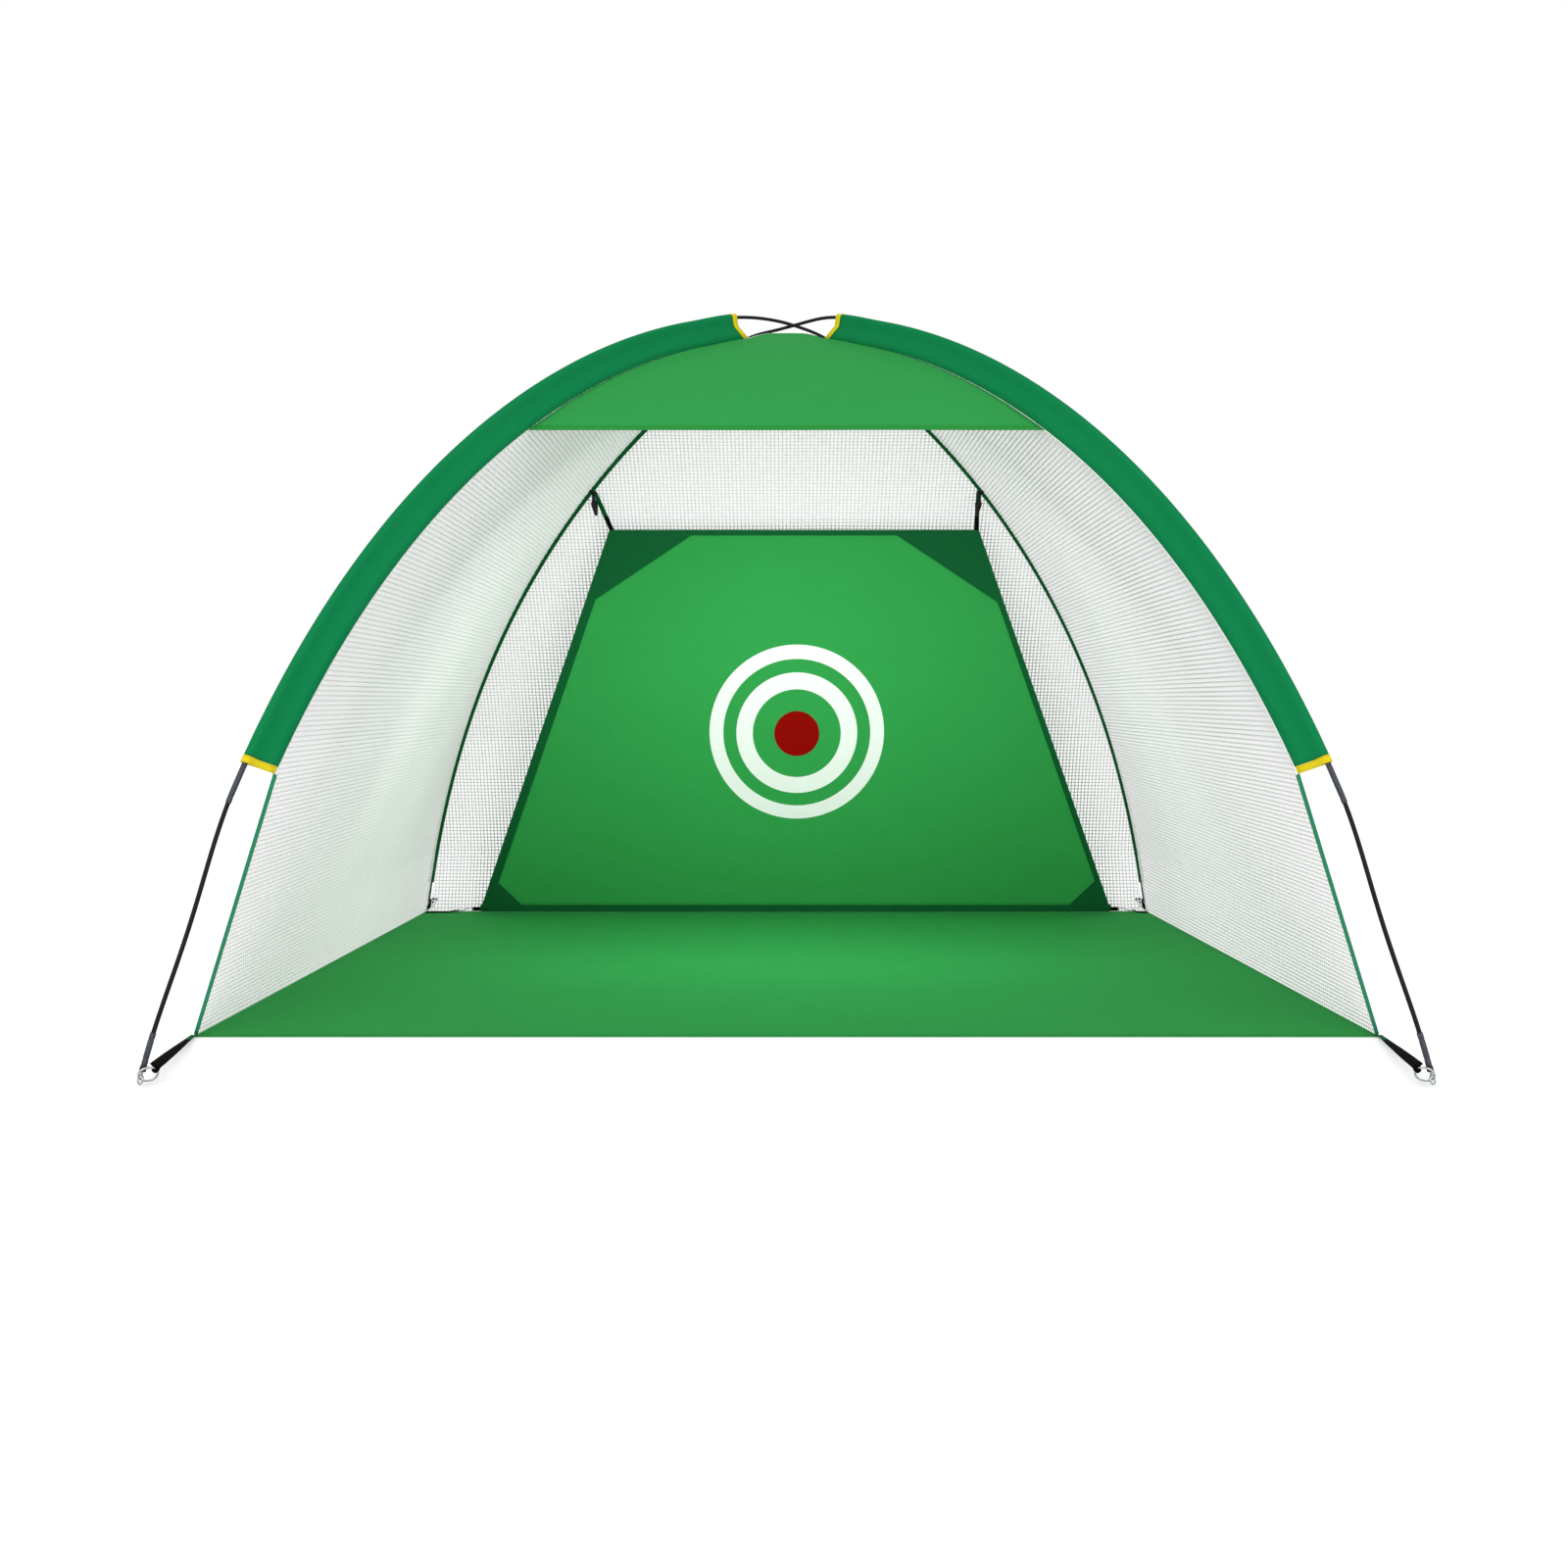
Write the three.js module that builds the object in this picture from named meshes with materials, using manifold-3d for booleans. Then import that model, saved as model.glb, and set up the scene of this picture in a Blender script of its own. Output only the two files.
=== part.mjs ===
// Golf chipping net: a dome of two crossing fibreglass poles that carries a netting cage,
// open at the front, with a target sheet hung inside it.
// Millimetres, +Z up, the open front faces -Y. The origin is on the ground, in the middle
// between the four pole feet.
import * as THREE from 'three';
import { mergeVertices } from 'three/addons/utils/BufferGeometryUtils.js';
import Module from 'manifold-3d';

const wasm = await Module();
wasm.setup();

// ---------------------------------------------------------------- driving dimensions
const LEFT = -1;
const RIGHT = 1;
const sideName = { [LEFT]: 'left', [RIGHT]: 'right' };

const floorWidth = 2000;
const floorDepth = 1400;
const floorCentreY = 112.5; // the floor sheet lies this far behind the middle of the feet
const floorThickness = 1.5;

const crownHeight = 1370; // mean height of the two pole axes where they cross
const crossingGap = 0.5; // air between the two poles at the crossing
// How far each pole foot stands outside the floor sheet's corner, to the side and to the end.
const frontFootFromFloor = { x: -55, y: 285 };
const rearFootFromFloor = { x: 12, y: 60 };
// The bend of each half pole: how far the flat crown carries on, and the shoulder's pull.
const frontBend = { crownRun: 200, shoulderRun: 1003, shoulderHeight: 1183.5 };
const rearBend = { crownRun: 200, shoulderRun: 1136.6, shoulderHeight: 1039 };

const poleRadius = 4.25;
const poleBore = 2.4; // bore radius
const poleSections = 9;
const ferruleWall = 0.9;
const ferruleLength = 90; // a joint's steel ferrule, half of it over each section
const ferruleFit = 0.3; // clearance of the section that plugs in
const endFerruleLength = 48; // the foot's own short ferrule
const jointGap = 0.4; // between two section ends inside a ferrule
const poleSides = 7;

const pinRadius = 1.8;
const pinInPole = 40; // how deep the pin's shank stands in the pole
const pinExposed = 20; // from the eye's middle to the pole's end
const collarRadius = 4.8;
const collarLength = 8;
const eyeWire = 1.4; // radius of the eye's wire
const eyeBore = 4.8; // radius of the eye's hole
const groundClearance = 1.0;

const ringRadius = 12.8; // centreline of the steel ring
const ringWire = 1.6;
const ringHeading = THREE.MathUtils.degToRad(27); // the ring leaves its eye this far off straight across,
const ringRise = THREE.MathUtils.degToRad(40); // at this slope,
const ringLean = THREE.MathUtils.degToRad(30); // leaning this far outward, clear of the pole
const ringEase = 1; // from the eye's middle to the middle of the ring's wire

const tabThickness = 2.4; // webbing folded double
const tabWidthAtFloor = 8;
const tabWidthAtRing = 18;
const tabLoop = { width: 7, bore: 3.4, wall: 1.6 };
const tabRoot = 2.4; // how far past its loop the webbing has its full width
const touch = 0.35; // the gap that two touching pieces keep

const sleeveStart = 484; // front sleeves: from here, measured up the pole from its foot,
const sleeveEnd = 1849; // to here
const sleeveHemLow = new THREE.Vector3(38, 22, -18); // pole to hem seam at the lower end
const sleeveHemTop = new THREE.Vector3(22, 4, -46); // and at the upper end, for the left
const sleeveWall = 1.0;
const sleeveWeb = 1.6; // both layers of the flat part
const pocketRadius = 7.4; // inside of the front sleeve's pole pocket
const pocketArc = THREE.MathUtils.degToRad(200); // how far round the pole it is round
const pocketSteps = 5;
const pocketTaper = 20; // from the pole's middle to where both layers meet
const bindingWidth = 12; // the tape bound over each end of a front sleeve
const bindingProud = 0.6;
const rearSleeveRadius = 6.7; // inside
const rearSleeveStart = 70;
const rearSleeveEnd = 1885;
const rearSleeveSides = 6;

const netThickness = 1.0;
// The netting is shown as a coarse grid of openings; these are shares of one cell's two sides.
const netOpening = 0.66;
const leastOpening = 60; // a cell with a shorter side than this stays closed
const sideNetColumns = 5;
const rearNetColumns = 6;
const hoodThickness = 0.9;
const hoodHemHeight = 1091;
const seamGap = 1.1; // from a seam's middle to a net's edge
const hoodSeamGap = 0.7; // and to the hood's
const webSeamGap = 0.5; // and to a sleeve's
const clothInset = 3; // the cloths meet the floor this far inside its edge
const edgeTapeWidth = 6;
const edgeTapeThickness = 2.4;
const crownHole = 4; // half the opening where the four cloths meet
const crownDrop = 12; // the cloths' meeting point below the poles

const targetThickness = 1.6;
const cornerRoom = 133; // each side of the target's foot, for its hooks and floor straps
// The target's two edges; shift: to the right of the middle.
const targetTop = { y: 422.5, z: 1002, width: 914, shift: 19 };
const targetBottom = { y: 782.5, z: 12, width: floorWidth - 2 * cornerRoom, shift: 25 };
const patchThickness = 0.8;
const topPatch = { width: 200, height: 190 };
const bottomPatch = { width: 112, height: 95 };

const anchorHeight = 1097; // the upper clips hold the rear sleeves here
const netNotch = { height: 20, depth: 16 }; // the nets leave room for each clip
const strapWidth = 12;
const strapThickness = 2;
const clipThickness = 3.4;
const clipWidth = 10;
const clipJaw = 7; // how far the jaws reach past the pole's middle
const clipFinger = { drop: 50, neck: 7, width: 17 };
const floorStrapWidth = 15;
const hookLength = 34; // from its eye's middle to its ring's middle
const hookWire = 1.4; // radius
const hookEye = 4.4; // centreline radius of the hook's eye round the target's tab
const hookRing = 6.5; // centreline radius of its ring in the floor strap
const hookLoop = { width: 5, bore: 2.1, wall: 1.1 };
const cornerTab = { reach: 20, width: 12, thickness: 2.4, stub: 4 };

// ---------------------------------------------------------------- materials
function finish(color, roughness, metalness = 0) {
  return new THREE.MeshStandardMaterial({ color, roughness, metalness });
}
const fibreglass = finish(0x16181a, 0.35);
const zincSteel = finish(0xb4b9bc, 0.3, 1);
const darkGreenCloth = finish(0x107e49, 0.75);
const midGreenTape = finish(0x2e8560, 0.8);
const rearGreenCloth = finish(0x0b5528, 0.8);
const lightGreenCloth = finish(0x339b4a, 0.75);
const patchCloth = finish(0x115a2f, 0.8);
const whiteNet = finish(0xececec, 0.9);
const yellowTape = finish(0xe3ce24, 0.8);
const blackWebbing = finish(0x111111, 0.85);
const blackPlastic = finish(0x0c0c0c, 0.5);

// ---------------------------------------------------------------- solids from rings
function flat(points) {
  const out = [];
  for (const p of points) {
    out.push(p.x, p.y, p.z);
  }
  return out;
}

function volumeOf(points, faces) {
  let six = 0;
  for (const [a, b, c] of faces) {
    six += points[a].dot(new THREE.Vector3().crossVectors(points[b], points[c]));
  }
  return six / 6;
}

function closedSolid(points, faces) {
  const out = volumeOf(points, faces) < 0 ? faces.map(([a, b, c]) => [a, c, b]) : faces;
  const geometry = new THREE.BufferGeometry();
  geometry.setAttribute('position', new THREE.Float32BufferAttribute(flat(points), 3));
  geometry.setIndex(out.flat());
  return mergeVertices(geometry, 1e-4);
}

// Faces between two neighbouring rings of a stack, from their first point's index.
function band(faces, from, to, count, flipped) {
  for (let i = 0; i < count; i += 1) {
    const j = (i + 1) % count;
    const quad = [from + i, from + j, to + j, to + i];
    const [a, b, c, d] = flipped ? quad.reverse() : quad;
    faces.push([a, b, c], [a, c, d]);
  }
}

function ringNormal(ring) {
  const normal = new THREE.Vector3();
  ring.forEach((p, i) => {
    normal.add(new THREE.Vector3().crossVectors(p, ring[(i + 1) % ring.length]));
  });
  return normal.normalize();
}

// The end face between an outer ring and, where there is one, an inner ring.
function endFace(faces, outer, outerAt, inner, innerAt, flipped) {
  const n = ringNormal(outer);
  const x = new THREE.Vector3().subVectors(outer[1], outer[0]).normalize();
  const y = new THREE.Vector3().crossVectors(n, x);
  const plane = (p) => new THREE.Vector2(p.dot(x), p.dot(y));
  const holes = inner ? [inner.map(plane)] : [];
  const index = outer.map((_, i) => outerAt + i).concat((inner || []).map((_, i) => innerAt + i));
  const spots = outer.map(plane).concat(...holes);
  for (const face of THREE.ShapeUtils.triangulateShape(outer.map(plane), holes)) {
    const [a, b, c] = face.map((i) => spots[i]);
    const turn = (b.x - a.x) * (c.y - a.y) - (b.y - a.y) * (c.x - a.x);
    const ordered = (turn > 0) !== flipped ? face : [face[0], face[2], face[1]];
    faces.push(ordered.map((i) => index[i]));
  }
}

// A stack of outer rings, hollow along a stack of inner rings if there are any.
function ringSolid(outer, inner = []) {
  const points = outer.flat();
  const faces = [];
  const n = outer[0].length;
  for (let i = 0; i + 1 < outer.length; i += 1) {
    band(faces, i * n, (i + 1) * n, n, false);
  }
  const innerStart = points.length;
  points.push(...inner.flat());
  const m = inner.length ? inner[0].length : 0;
  for (let i = 0; i + 1 < inner.length; i += 1) {
    band(faces, innerStart + i * m, innerStart + (i + 1) * m, m, true);
  }
  const last = innerStart + (inner.length - 1) * m;
  endFace(faces, outer[0], 0, inner[0], innerStart, true);
  endFace(faces, outer.at(-1), (outer.length - 1) * n, inner.at(-1), last, false);
  return closedSolid(points, faces);
}

// A thin cloth: a grid of points given its thickness to both sides, both faces split the same
// way so that they stay apart. Each large enough cell may have an opening, whose sides are the
// given share of the cell's.
function clothSolid(grid, thickness, opening = 0) {
  const rows = grid.length;
  const columns = grid[0].length;
  const at = (r, c) => grid[Math.min(Math.max(r, 0), rows - 1)][Math.min(Math.max(c, 0), columns - 1)];
  const layers = [[], []];
  for (let r = 0; r < rows; r += 1) {
    for (let c = 0; c < columns; c += 1) {
      const across = new THREE.Vector3().subVectors(at(r, c + 1), at(r, c - 1));
      const up = new THREE.Vector3().subVectors(at(r + 1, c), at(r - 1, c));
      const half = across.cross(up).setLength(thickness / 2);
      layers[0].push(at(r, c).clone().add(half));
      layers[1].push(at(r, c).clone().sub(half));
    }
  }
  const total = rows * columns;
  const points = layers.flat();
  const faces = [];
  const quad = (a, b, c, d) => faces.push([a, b, c], [a, c, d]);
  const wide = (p, q) => points[p].distanceTo(points[q]) > leastOpening;
  for (let r = 0; r + 1 < rows; r += 1) {
    for (let c = 0; c + 1 < columns; c += 1) {
      const a = r * columns + c;
      const cell = [a, a + 1, a + columns + 1, a + columns];
      const open = opening > 0 && cell.every((p, i) => wide(p, cell[(i + 1) % 4]));
      const rims = [0, total].map((layer) => {
        const corners = cell.map((p) => points[p + layer]);
        const middle = corners.reduce((sum, p) => sum.add(p), new THREE.Vector3()).divideScalar(4);
        const start = points.length;
        if (open) {
          points.push(...corners.map((p) => middle.clone().lerp(p, opening)));
        }
        return start;
      });
      if (!open) {
        const [first, ...others] = cell.map((p) => p + total);
        quad(...cell);
        quad(first, ...others.reverse());
        continue;
      }
      for (let i = 0; i < 4; i += 1) {
        const j = (i + 1) % 4;
        const [f, b] = rims;
        quad(cell[i], cell[j], f + j, f + i);
        quad(cell[i] + total, b + i, b + j, cell[j] + total);
        quad(f + i, f + j, b + j, b + i);
      }
    }
  }
  const rim = [];
  for (let c = 0; c < columns; c += 1) rim.push(c);
  for (let r = 1; r < rows; r += 1) rim.push(r * columns + columns - 1);
  for (let c = columns - 2; c >= 0; c -= 1) rim.push((rows - 1) * columns + c);
  for (let r = rows - 2; r > 0; r -= 1) rim.push(r * columns);
  rim.forEach((a, i) => {
    const b = rim[(i + 1) % rim.length];
    quad(b, a, total + a, total + b);
  });
  return closedSolid(points, faces);
}

// A round or flat section carried along a path of points, with closed ends.
function sweepSolid(path, side, sectionAt) {
  const rings = path.map((p, i) => {
    const before = path[Math.max(i - 1, 0)];
    const after = path[Math.min(i + 1, path.length - 1)];
    const along = new THREE.Vector3().subVectors(after, before).normalize();
    const up = new THREE.Vector3().crossVectors(side, along).normalize();
    const level = new THREE.Vector3().crossVectors(along, up);
    return sectionAt(i).map(([w, h]) => p.clone().addScaledVector(level, w).addScaledVector(up, h));
  });
  return ringSolid(rings);
}

function circleSection(radius, sides) {
  return Array.from({ length: sides }, (_, i) => {
    const angle = (2 * Math.PI * (i + 0.5)) / sides;
    return [radius * Math.cos(angle), radius * Math.sin(angle)];
  });
}

function flatSection(width, height) {
  const [w, h] = [width / 2, height / 2];
  return [[-w, -h], [w, -h], [w, h], [-w, h]];
}

// ---------------------------------------------------------------- joins and cuts
function toManifold(geometry) {
  const bare = new THREE.BufferGeometry();
  bare.setAttribute('position', geometry.getAttribute('position').clone());
  if (geometry.index) {
    bare.setIndex(geometry.index.clone());
  }
  const merged = mergeVertices(bare, 1e-4);
  return new wasm.Manifold(new wasm.Mesh({
    numProp: 3,
    vertProperties: new Float32Array(merged.getAttribute('position').array),
    triVerts: new Uint32Array(merged.index.array),
  }));
}

function fromManifold(solid) {
  const mesh = solid.getMesh();
  const geometry = new THREE.BufferGeometry();
  geometry.setAttribute('position', new THREE.BufferAttribute(new Float32Array(mesh.vertProperties), 3));
  geometry.setIndex(new THREE.BufferAttribute(new Uint32Array(mesh.triVerts), 1));
  return geometry;
}

// ---------------------------------------------------------------- the two bent poles
// The poles' plan lines run straight from a front foot to the opposite rear foot.
const floorFrontY = floorCentreY - floorDepth / 2;
const floorRearY = floorCentreY + floorDepth / 2;
const frontFoot = { x: floorWidth / 2 + frontFootFromFloor.x, y: floorFrontY - frontFootFromFloor.y };
const rearFoot = { x: floorWidth / 2 + rearFootFromFloor.x, y: floorRearY + rearFootFromFloor.y };
const crossingY = frontFoot.y + (frontFoot.x * (rearFoot.y - frontFoot.y)) / (frontFoot.x + rearFoot.x);
const eyeOuter = eyeBore + 2 * eyeWire;
const eyeHeight = eyeOuter + groundClearance;
const crossingLift = poleRadius + crossingGap / 2;
const ferruleRadius = poleRadius + ferruleFit + ferruleWall;

// Half a pole from its foot up to the crossing, in the vertical plane through both.
function halfPole(side, foot, bend, crownZ) {
  const base = new THREE.Vector3(side * foot.x, foot.y, 0);
  const middle = new THREE.Vector3(0, crossingY, 0);
  const outward = new THREE.Vector3().subVectors(base, middle).normalize();
  const at = (run, z) => middle.clone().addScaledVector(outward, run).setZ(z);
  const span = base.distanceTo(middle);
  return new THREE.CubicBezierCurve3(
    at(span, eyeHeight),
    at(bend.shoulderRun, bend.shoulderHeight),
    at(bend.crownRun, crownZ),
    at(0, crownZ),
  );
}

// The pole that starts at the front left foot passes over the other one.
function crownOfPole(frontSide) {
  return crownHeight + (frontSide === LEFT ? crossingLift : -crossingLift);
}
const frontHalf = {};
const rearHalf = {};
for (const side of [LEFT, RIGHT]) {
  frontHalf[side] = halfPole(side, frontFoot, frontBend, crownOfPole(side));
  rearHalf[side] = halfPole(side, rearFoot, rearBend, crownOfPole(-side));
}
const meanFront = halfPole(LEFT, frontFoot, frontBend, crownHeight);
const meanRear = halfPole(LEFT, rearFoot, rearBend, crownHeight);
const frontLength = meanFront.getLength();
const rearLength = meanRear.getLength();
const poleLength = frontLength + rearLength;
const sectionLength = (poleLength - 2 * pinExposed) / poleSections;

function parameterAtArc(curve, arc) {
  return curve.getUtoTmapping(arc / curve.getLength());
}

function parameterAtHeight(curve, height) {
  let low = 0;
  let high = 1;
  for (let i = 0; i < 40; i += 1) {
    const middle = (low + high) / 2;
    if (curve.getPoint(middle).z < height) {
      low = middle;
    } else {
      high = middle;
    }
  }
  return (low + high) / 2;
}

// Heights at which every cloth and tube has a row of points, so that they stay nested.
const rowsBelowSleeve = 3;
const rowsToHood = 3;
const rowsOfHood = 3;
const lowT = parameterAtArc(meanFront, sleeveStart);
const endT = parameterAtArc(meanFront, sleeveEnd);

function hemVector(t) {
  return sleeveHemLow.clone().lerp(sleeveHemTop, (t - lowT) / (endT - lowT));
}

function hoodParameter() {
  let low = lowT;
  let high = endT;
  for (let i = 0; i < 40; i += 1) {
    const middle = (low + high) / 2;
    if (meanFront.getPoint(middle).z + hemVector(middle).z < hoodHemHeight) {
      low = middle;
    } else {
      high = middle;
    }
  }
  return (low + high) / 2;
}
const hoodT = hoodParameter();

function steps(from, to, count) {
  return Array.from({ length: count }, (_, i) => from + ((to - from) * i) / count);
}
const notchRows = [anchorHeight - netNotch.height, anchorHeight, anchorHeight + netNotch.height]
  .map((z) => parameterAtHeight(meanFront, z));
const upperRows = [...steps(lowT, hoodT, rowsToHood), ...steps(hoodT, endT, rowsOfHood), endT, ...notchRows]
  .sort((a, b) => a - b);
const lowHeight = meanFront.getPoint(lowT).z;
const lowerFractions = steps(0, 1, rowsBelowSleeve);
const netHeights = [
  ...lowerFractions.map((f) => eyeHeight + f * (lowHeight - eyeHeight)),
  ...upperRows.map((t) => meanFront.getPoint(t).z),
];

// The places along a half pole where something starts or ends, measured from its foot.
function jointMarks(halfLength) {
  const marks = [pinExposed, pinExposed + endFerruleLength];
  for (let j = 1; j < poleSections; j += 1) {
    const joint = pinExposed + j * sectionLength;
    marks.push(joint - ferruleLength / 2, joint, joint + ferruleLength / 2);
  }
  return marks.filter((arc) => arc < halfLength);
}
const bindingMarks = [sleeveStart, sleeveStart + bindingWidth, sleeveStart + bindingWidth + touch,
  sleeveEnd - bindingWidth - touch, sleeveEnd - bindingWidth, sleeveEnd];
const front = { bend: frontHalf, mean: meanFront, length: frontLength, marks: jointMarks(frontLength) };
const rear = { bend: rearHalf, mean: meanRear, length: rearLength, marks: jointMarks(rearLength) };

const leastStep = 2; // plain rows nearer to a mark than this are left out
function stationParameters(half, ownMarks) {
  const marks = [...half.marks, ...ownMarks].map((m) => half.mean.getUtoTmapping(m / half.length));
  const clear = (t) => marks.every((m) => Math.abs(m - t) * half.length > leastStep);
  const rows = netHeights.slice(1).filter((z) => Math.abs(z - anchorHeight) > leastStep)
    .map((z) => parameterAtHeight(half.mean, z));
  return [...marks, ...rows.filter(clear)].sort((a, b) => a - b);
}

function arcOf(curve, t) {
  const lengths = curve.getLengths();
  const place = t * (lengths.length - 1);
  const i = Math.min(Math.floor(place), lengths.length - 2);
  return lengths[i] + (lengths[i + 1] - lengths[i]) * (place - i);
}

// Points along a half pole, each with the direction that points out of its bend.
function stationsOf(half, side, ownMarks = []) {
  const curve = half.bend[side];
  const foot = curve.getPoint(0);
  const crown = curve.getPoint(1);
  const plan = new THREE.Vector3(crown.x - foot.x, crown.y - foot.y, 0).normalize();
  const lateral = new THREE.Vector3(-plan.y, plan.x, 0);
  return stationParameters(half, ownMarks).map((t) => {
    const up = new THREE.Vector3().crossVectors(lateral, curve.getTangent(t)).normalize();
    if (up.z < 0) {
      up.negate();
    }
    return { t, arc: arcOf(half.mean, t), point: curve.getPoint(t), up, lateral };
  });
}

function ringAround(station, radius, sides, centreShift = 0) {
  return Array.from({ length: sides }, (_, i) => {
    const angle = (2 * Math.PI * (i + 0.5)) / sides;
    return station.point.clone()
      .addScaledVector(station.up, radius * Math.cos(angle) + centreShift)
      .addScaledVector(station.lateral, radius * Math.sin(angle));
  });
}

// A ring at any arc, on the straight lines between the rings of its two neighbours.
function ringAtArc(stations, arc, radius, sides) {
  let i = stations.findIndex((s) => s.arc > arc + 1e-6) - 1;
  if (i < 0) {
    i = arc <= stations[0].arc ? 0 : stations.length - 2;
  }
  const share = (arc - stations[i].arc) / (stations[i + 1].arc - stations[i].arc);
  const low = ringAround(stations[i], radius, sides);
  const high = ringAround(stations[i + 1], radius, sides);
  return low.map((p, k) => p.lerp(high[k], share));
}

// Rings for a run of steps [from, to, radius] along the stations.
function ringsAlong(stations, profile, sides) {
  const rings = [];
  for (const [from, to, radius] of profile) {
    rings.push(ringAtArc(stations, from, radius, sides));
    for (const s of stations) {
      if (s.arc > from + 0.01 && s.arc < to - 0.01) {
        rings.push(ringAround(s, radius, sides));
      }
    }
    rings.push(ringAtArc(stations, to, radius, sides));
  }
  return rings;
}

// The whole pole's stations, from its front foot over the crown to its rear foot.
function poleStations(frontSide) {
  const rise = stationsOf(front, frontSide);
  const fall = stationsOf(rear, -frontSide).reverse();
  const { lateral } = rise[0];
  for (const s of fall) {
    s.lateral = lateral;
    s.arc = poleLength - s.arc;
  }
  const upward = new THREE.Vector3(0, 0, 1);
  const crown = { arc: frontLength, point: frontHalf[frontSide].getPoint(1), up: upward, lateral };
  return [...rise, crown, ...fall];
}

function poleSection(stations, index) {
  const start = pinExposed + index * sectionLength;
  const end = start + sectionLength;
  const first = index === 0;
  const last = index === poleSections - 1;
  const begin = first ? start : start + jointGap;
  const outer = first
    ? [[begin, begin + endFerruleLength, ferruleRadius], [begin + endFerruleLength, end - ferruleLength / 2, poleRadius]]
    : [[begin, last ? end - endFerruleLength : end - ferruleLength / 2, poleRadius]];
  const inner = [[begin, end, poleBore]];
  if (last) {
    outer.push([end - endFerruleLength, end, ferruleRadius]);
  } else {
    outer.push([end - ferruleLength / 2, end + ferruleLength / 2, ferruleRadius]);
    inner.push([end, end + ferruleLength / 2, poleRadius + ferruleFit]);
  }
  return ringSolid(ringsAlong(stations, outer, poleSides), ringsAlong(stations, inner, poleSides));
}

// ---------------------------------------------------------------- cloth seams
const clothBase = floorThickness + touch + netThickness / 2;

function mirroredHem(side, t) {
  const hem = hemVector(t);
  return new THREE.Vector3(-side * hem.x, hem.y, hem.z);
}

// The front seam: straight from the floor's corner to the sleeve, then along its hem.
function frontSeam(side) {
  const corner = new THREE.Vector3(side * (floorWidth / 2 - clothInset), floorFrontY + clothInset, clothBase);
  const low = frontHalf[side].getPoint(lowT).add(mirroredHem(side, lowT));
  const lower = lowerFractions.map((f) => corner.clone().lerp(low, f));
  const upper = upperRows.map((t) => frontHalf[side].getPoint(t).add(mirroredHem(side, t)));
  const crown = new THREE.Vector3(side * crownHole, crossingY - crownHole, crownCloth);
  return [...lower, ...upper, crown];
}
const crownCloth = crownHeight - crossingLift - poleRadius - crownDrop;

// The rear seam follows the rear half of the pole from the floor's corner to the crown.
function rearSeam(side) {
  const corner = new THREE.Vector3(side * (floorWidth / 2 - clothInset), floorRearY - clothInset, clothBase);
  const points = netHeights.map((z) => {
    const t = parameterAtHeight(meanRear, z);
    return rearHalf[side].getPoint(t);
  });
  points[0] = corner;
  return [...points, new THREE.Vector3(side * crownHole, crossingY + crownHole, crownCloth)];
}

// A cloth's edge: its own distance from the seam, square to it, towards the other seam.
function edgeToward(seam, other, distances) {
  return seam.map((p, i) => {
    const run = new THREE.Vector3()
      .subVectors(seam[Math.min(i + 1, seam.length - 1)], seam[Math.max(i - 1, 0)]).normalize();
    const way = new THREE.Vector3().subVectors(other[i], p);
    way.addScaledVector(run, -way.dot(run)).normalize();
    return p.clone().addScaledVector(way, distances[i]);
  });
}

function gridBetween(a, b, columns) {
  return a.map((p, i) => Array.from({ length: columns + 1 }, (_, c) => p.clone().lerp(b[i], c / columns)));
}

const rowCount = netHeights.length + 1;
const rearSleeveOuter = rearSleeveRadius + sleeveWall;
const besideRearSleeve = rearSleeveOuter + touch;
const frontDistances = Array.from({ length: rowCount }, (_, i) => (
  i <= rowsBelowSleeve ? edgeTapeWidth / 2 + 2 * touch : seamGap));
const rearDistances = Array.from({ length: rowCount }, (_, i) => {
  if (i === 0 || i === rowCount - 1) {
    return seamGap;
  }
  return i === rowsBelowSleeve + upperRows.indexOf(notchRows[1]) ? netNotch.depth : besideRearSleeve;
});

function sideNet(side) {
  const front = frontSeam(side);
  const rear = rearSeam(side);
  const a = edgeToward(front, rear, frontDistances);
  const b = edgeToward(rear, front, rearDistances);
  return clothSolid(gridBetween(a, b, sideNetColumns), netThickness, netOpening);
}

function rearNet() {
  const left = rearSeam(LEFT);
  const right = rearSeam(RIGHT);
  const a = edgeToward(left, right, rearDistances);
  const b = edgeToward(right, left, rearDistances);
  return clothSolid(gridBetween(a, b, rearNetColumns), netThickness, netOpening);
}

function hood() {
  const from = rowsBelowSleeve + upperRows.indexOf(hoodT);
  const left = frontSeam(LEFT).slice(from);
  const right = frontSeam(RIGHT).slice(from);
  const gaps = left.map(() => hoodSeamGap);
  const grid = gridBetween(edgeToward(left, right, gaps), edgeToward(right, left, gaps), 4);
  return clothSolid(grid, hoodThickness);
}

function edgeTape(side) {
  const seam = frontSeam(side).slice(0, rowsBelowSleeve + 1);
  const rear = rearSeam(side);
  seam[0].z += edgeTapeThickness / 2;
  const low = seam.at(-1);
  low.lerp(seam.at(-2), 0.03);
  const back = new THREE.Vector3().subVectors(rear[1], seam[1]).normalize();
  return sweepSolid(seam, back, () => flatSection(edgeTapeWidth, edgeTapeThickness));
}

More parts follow.
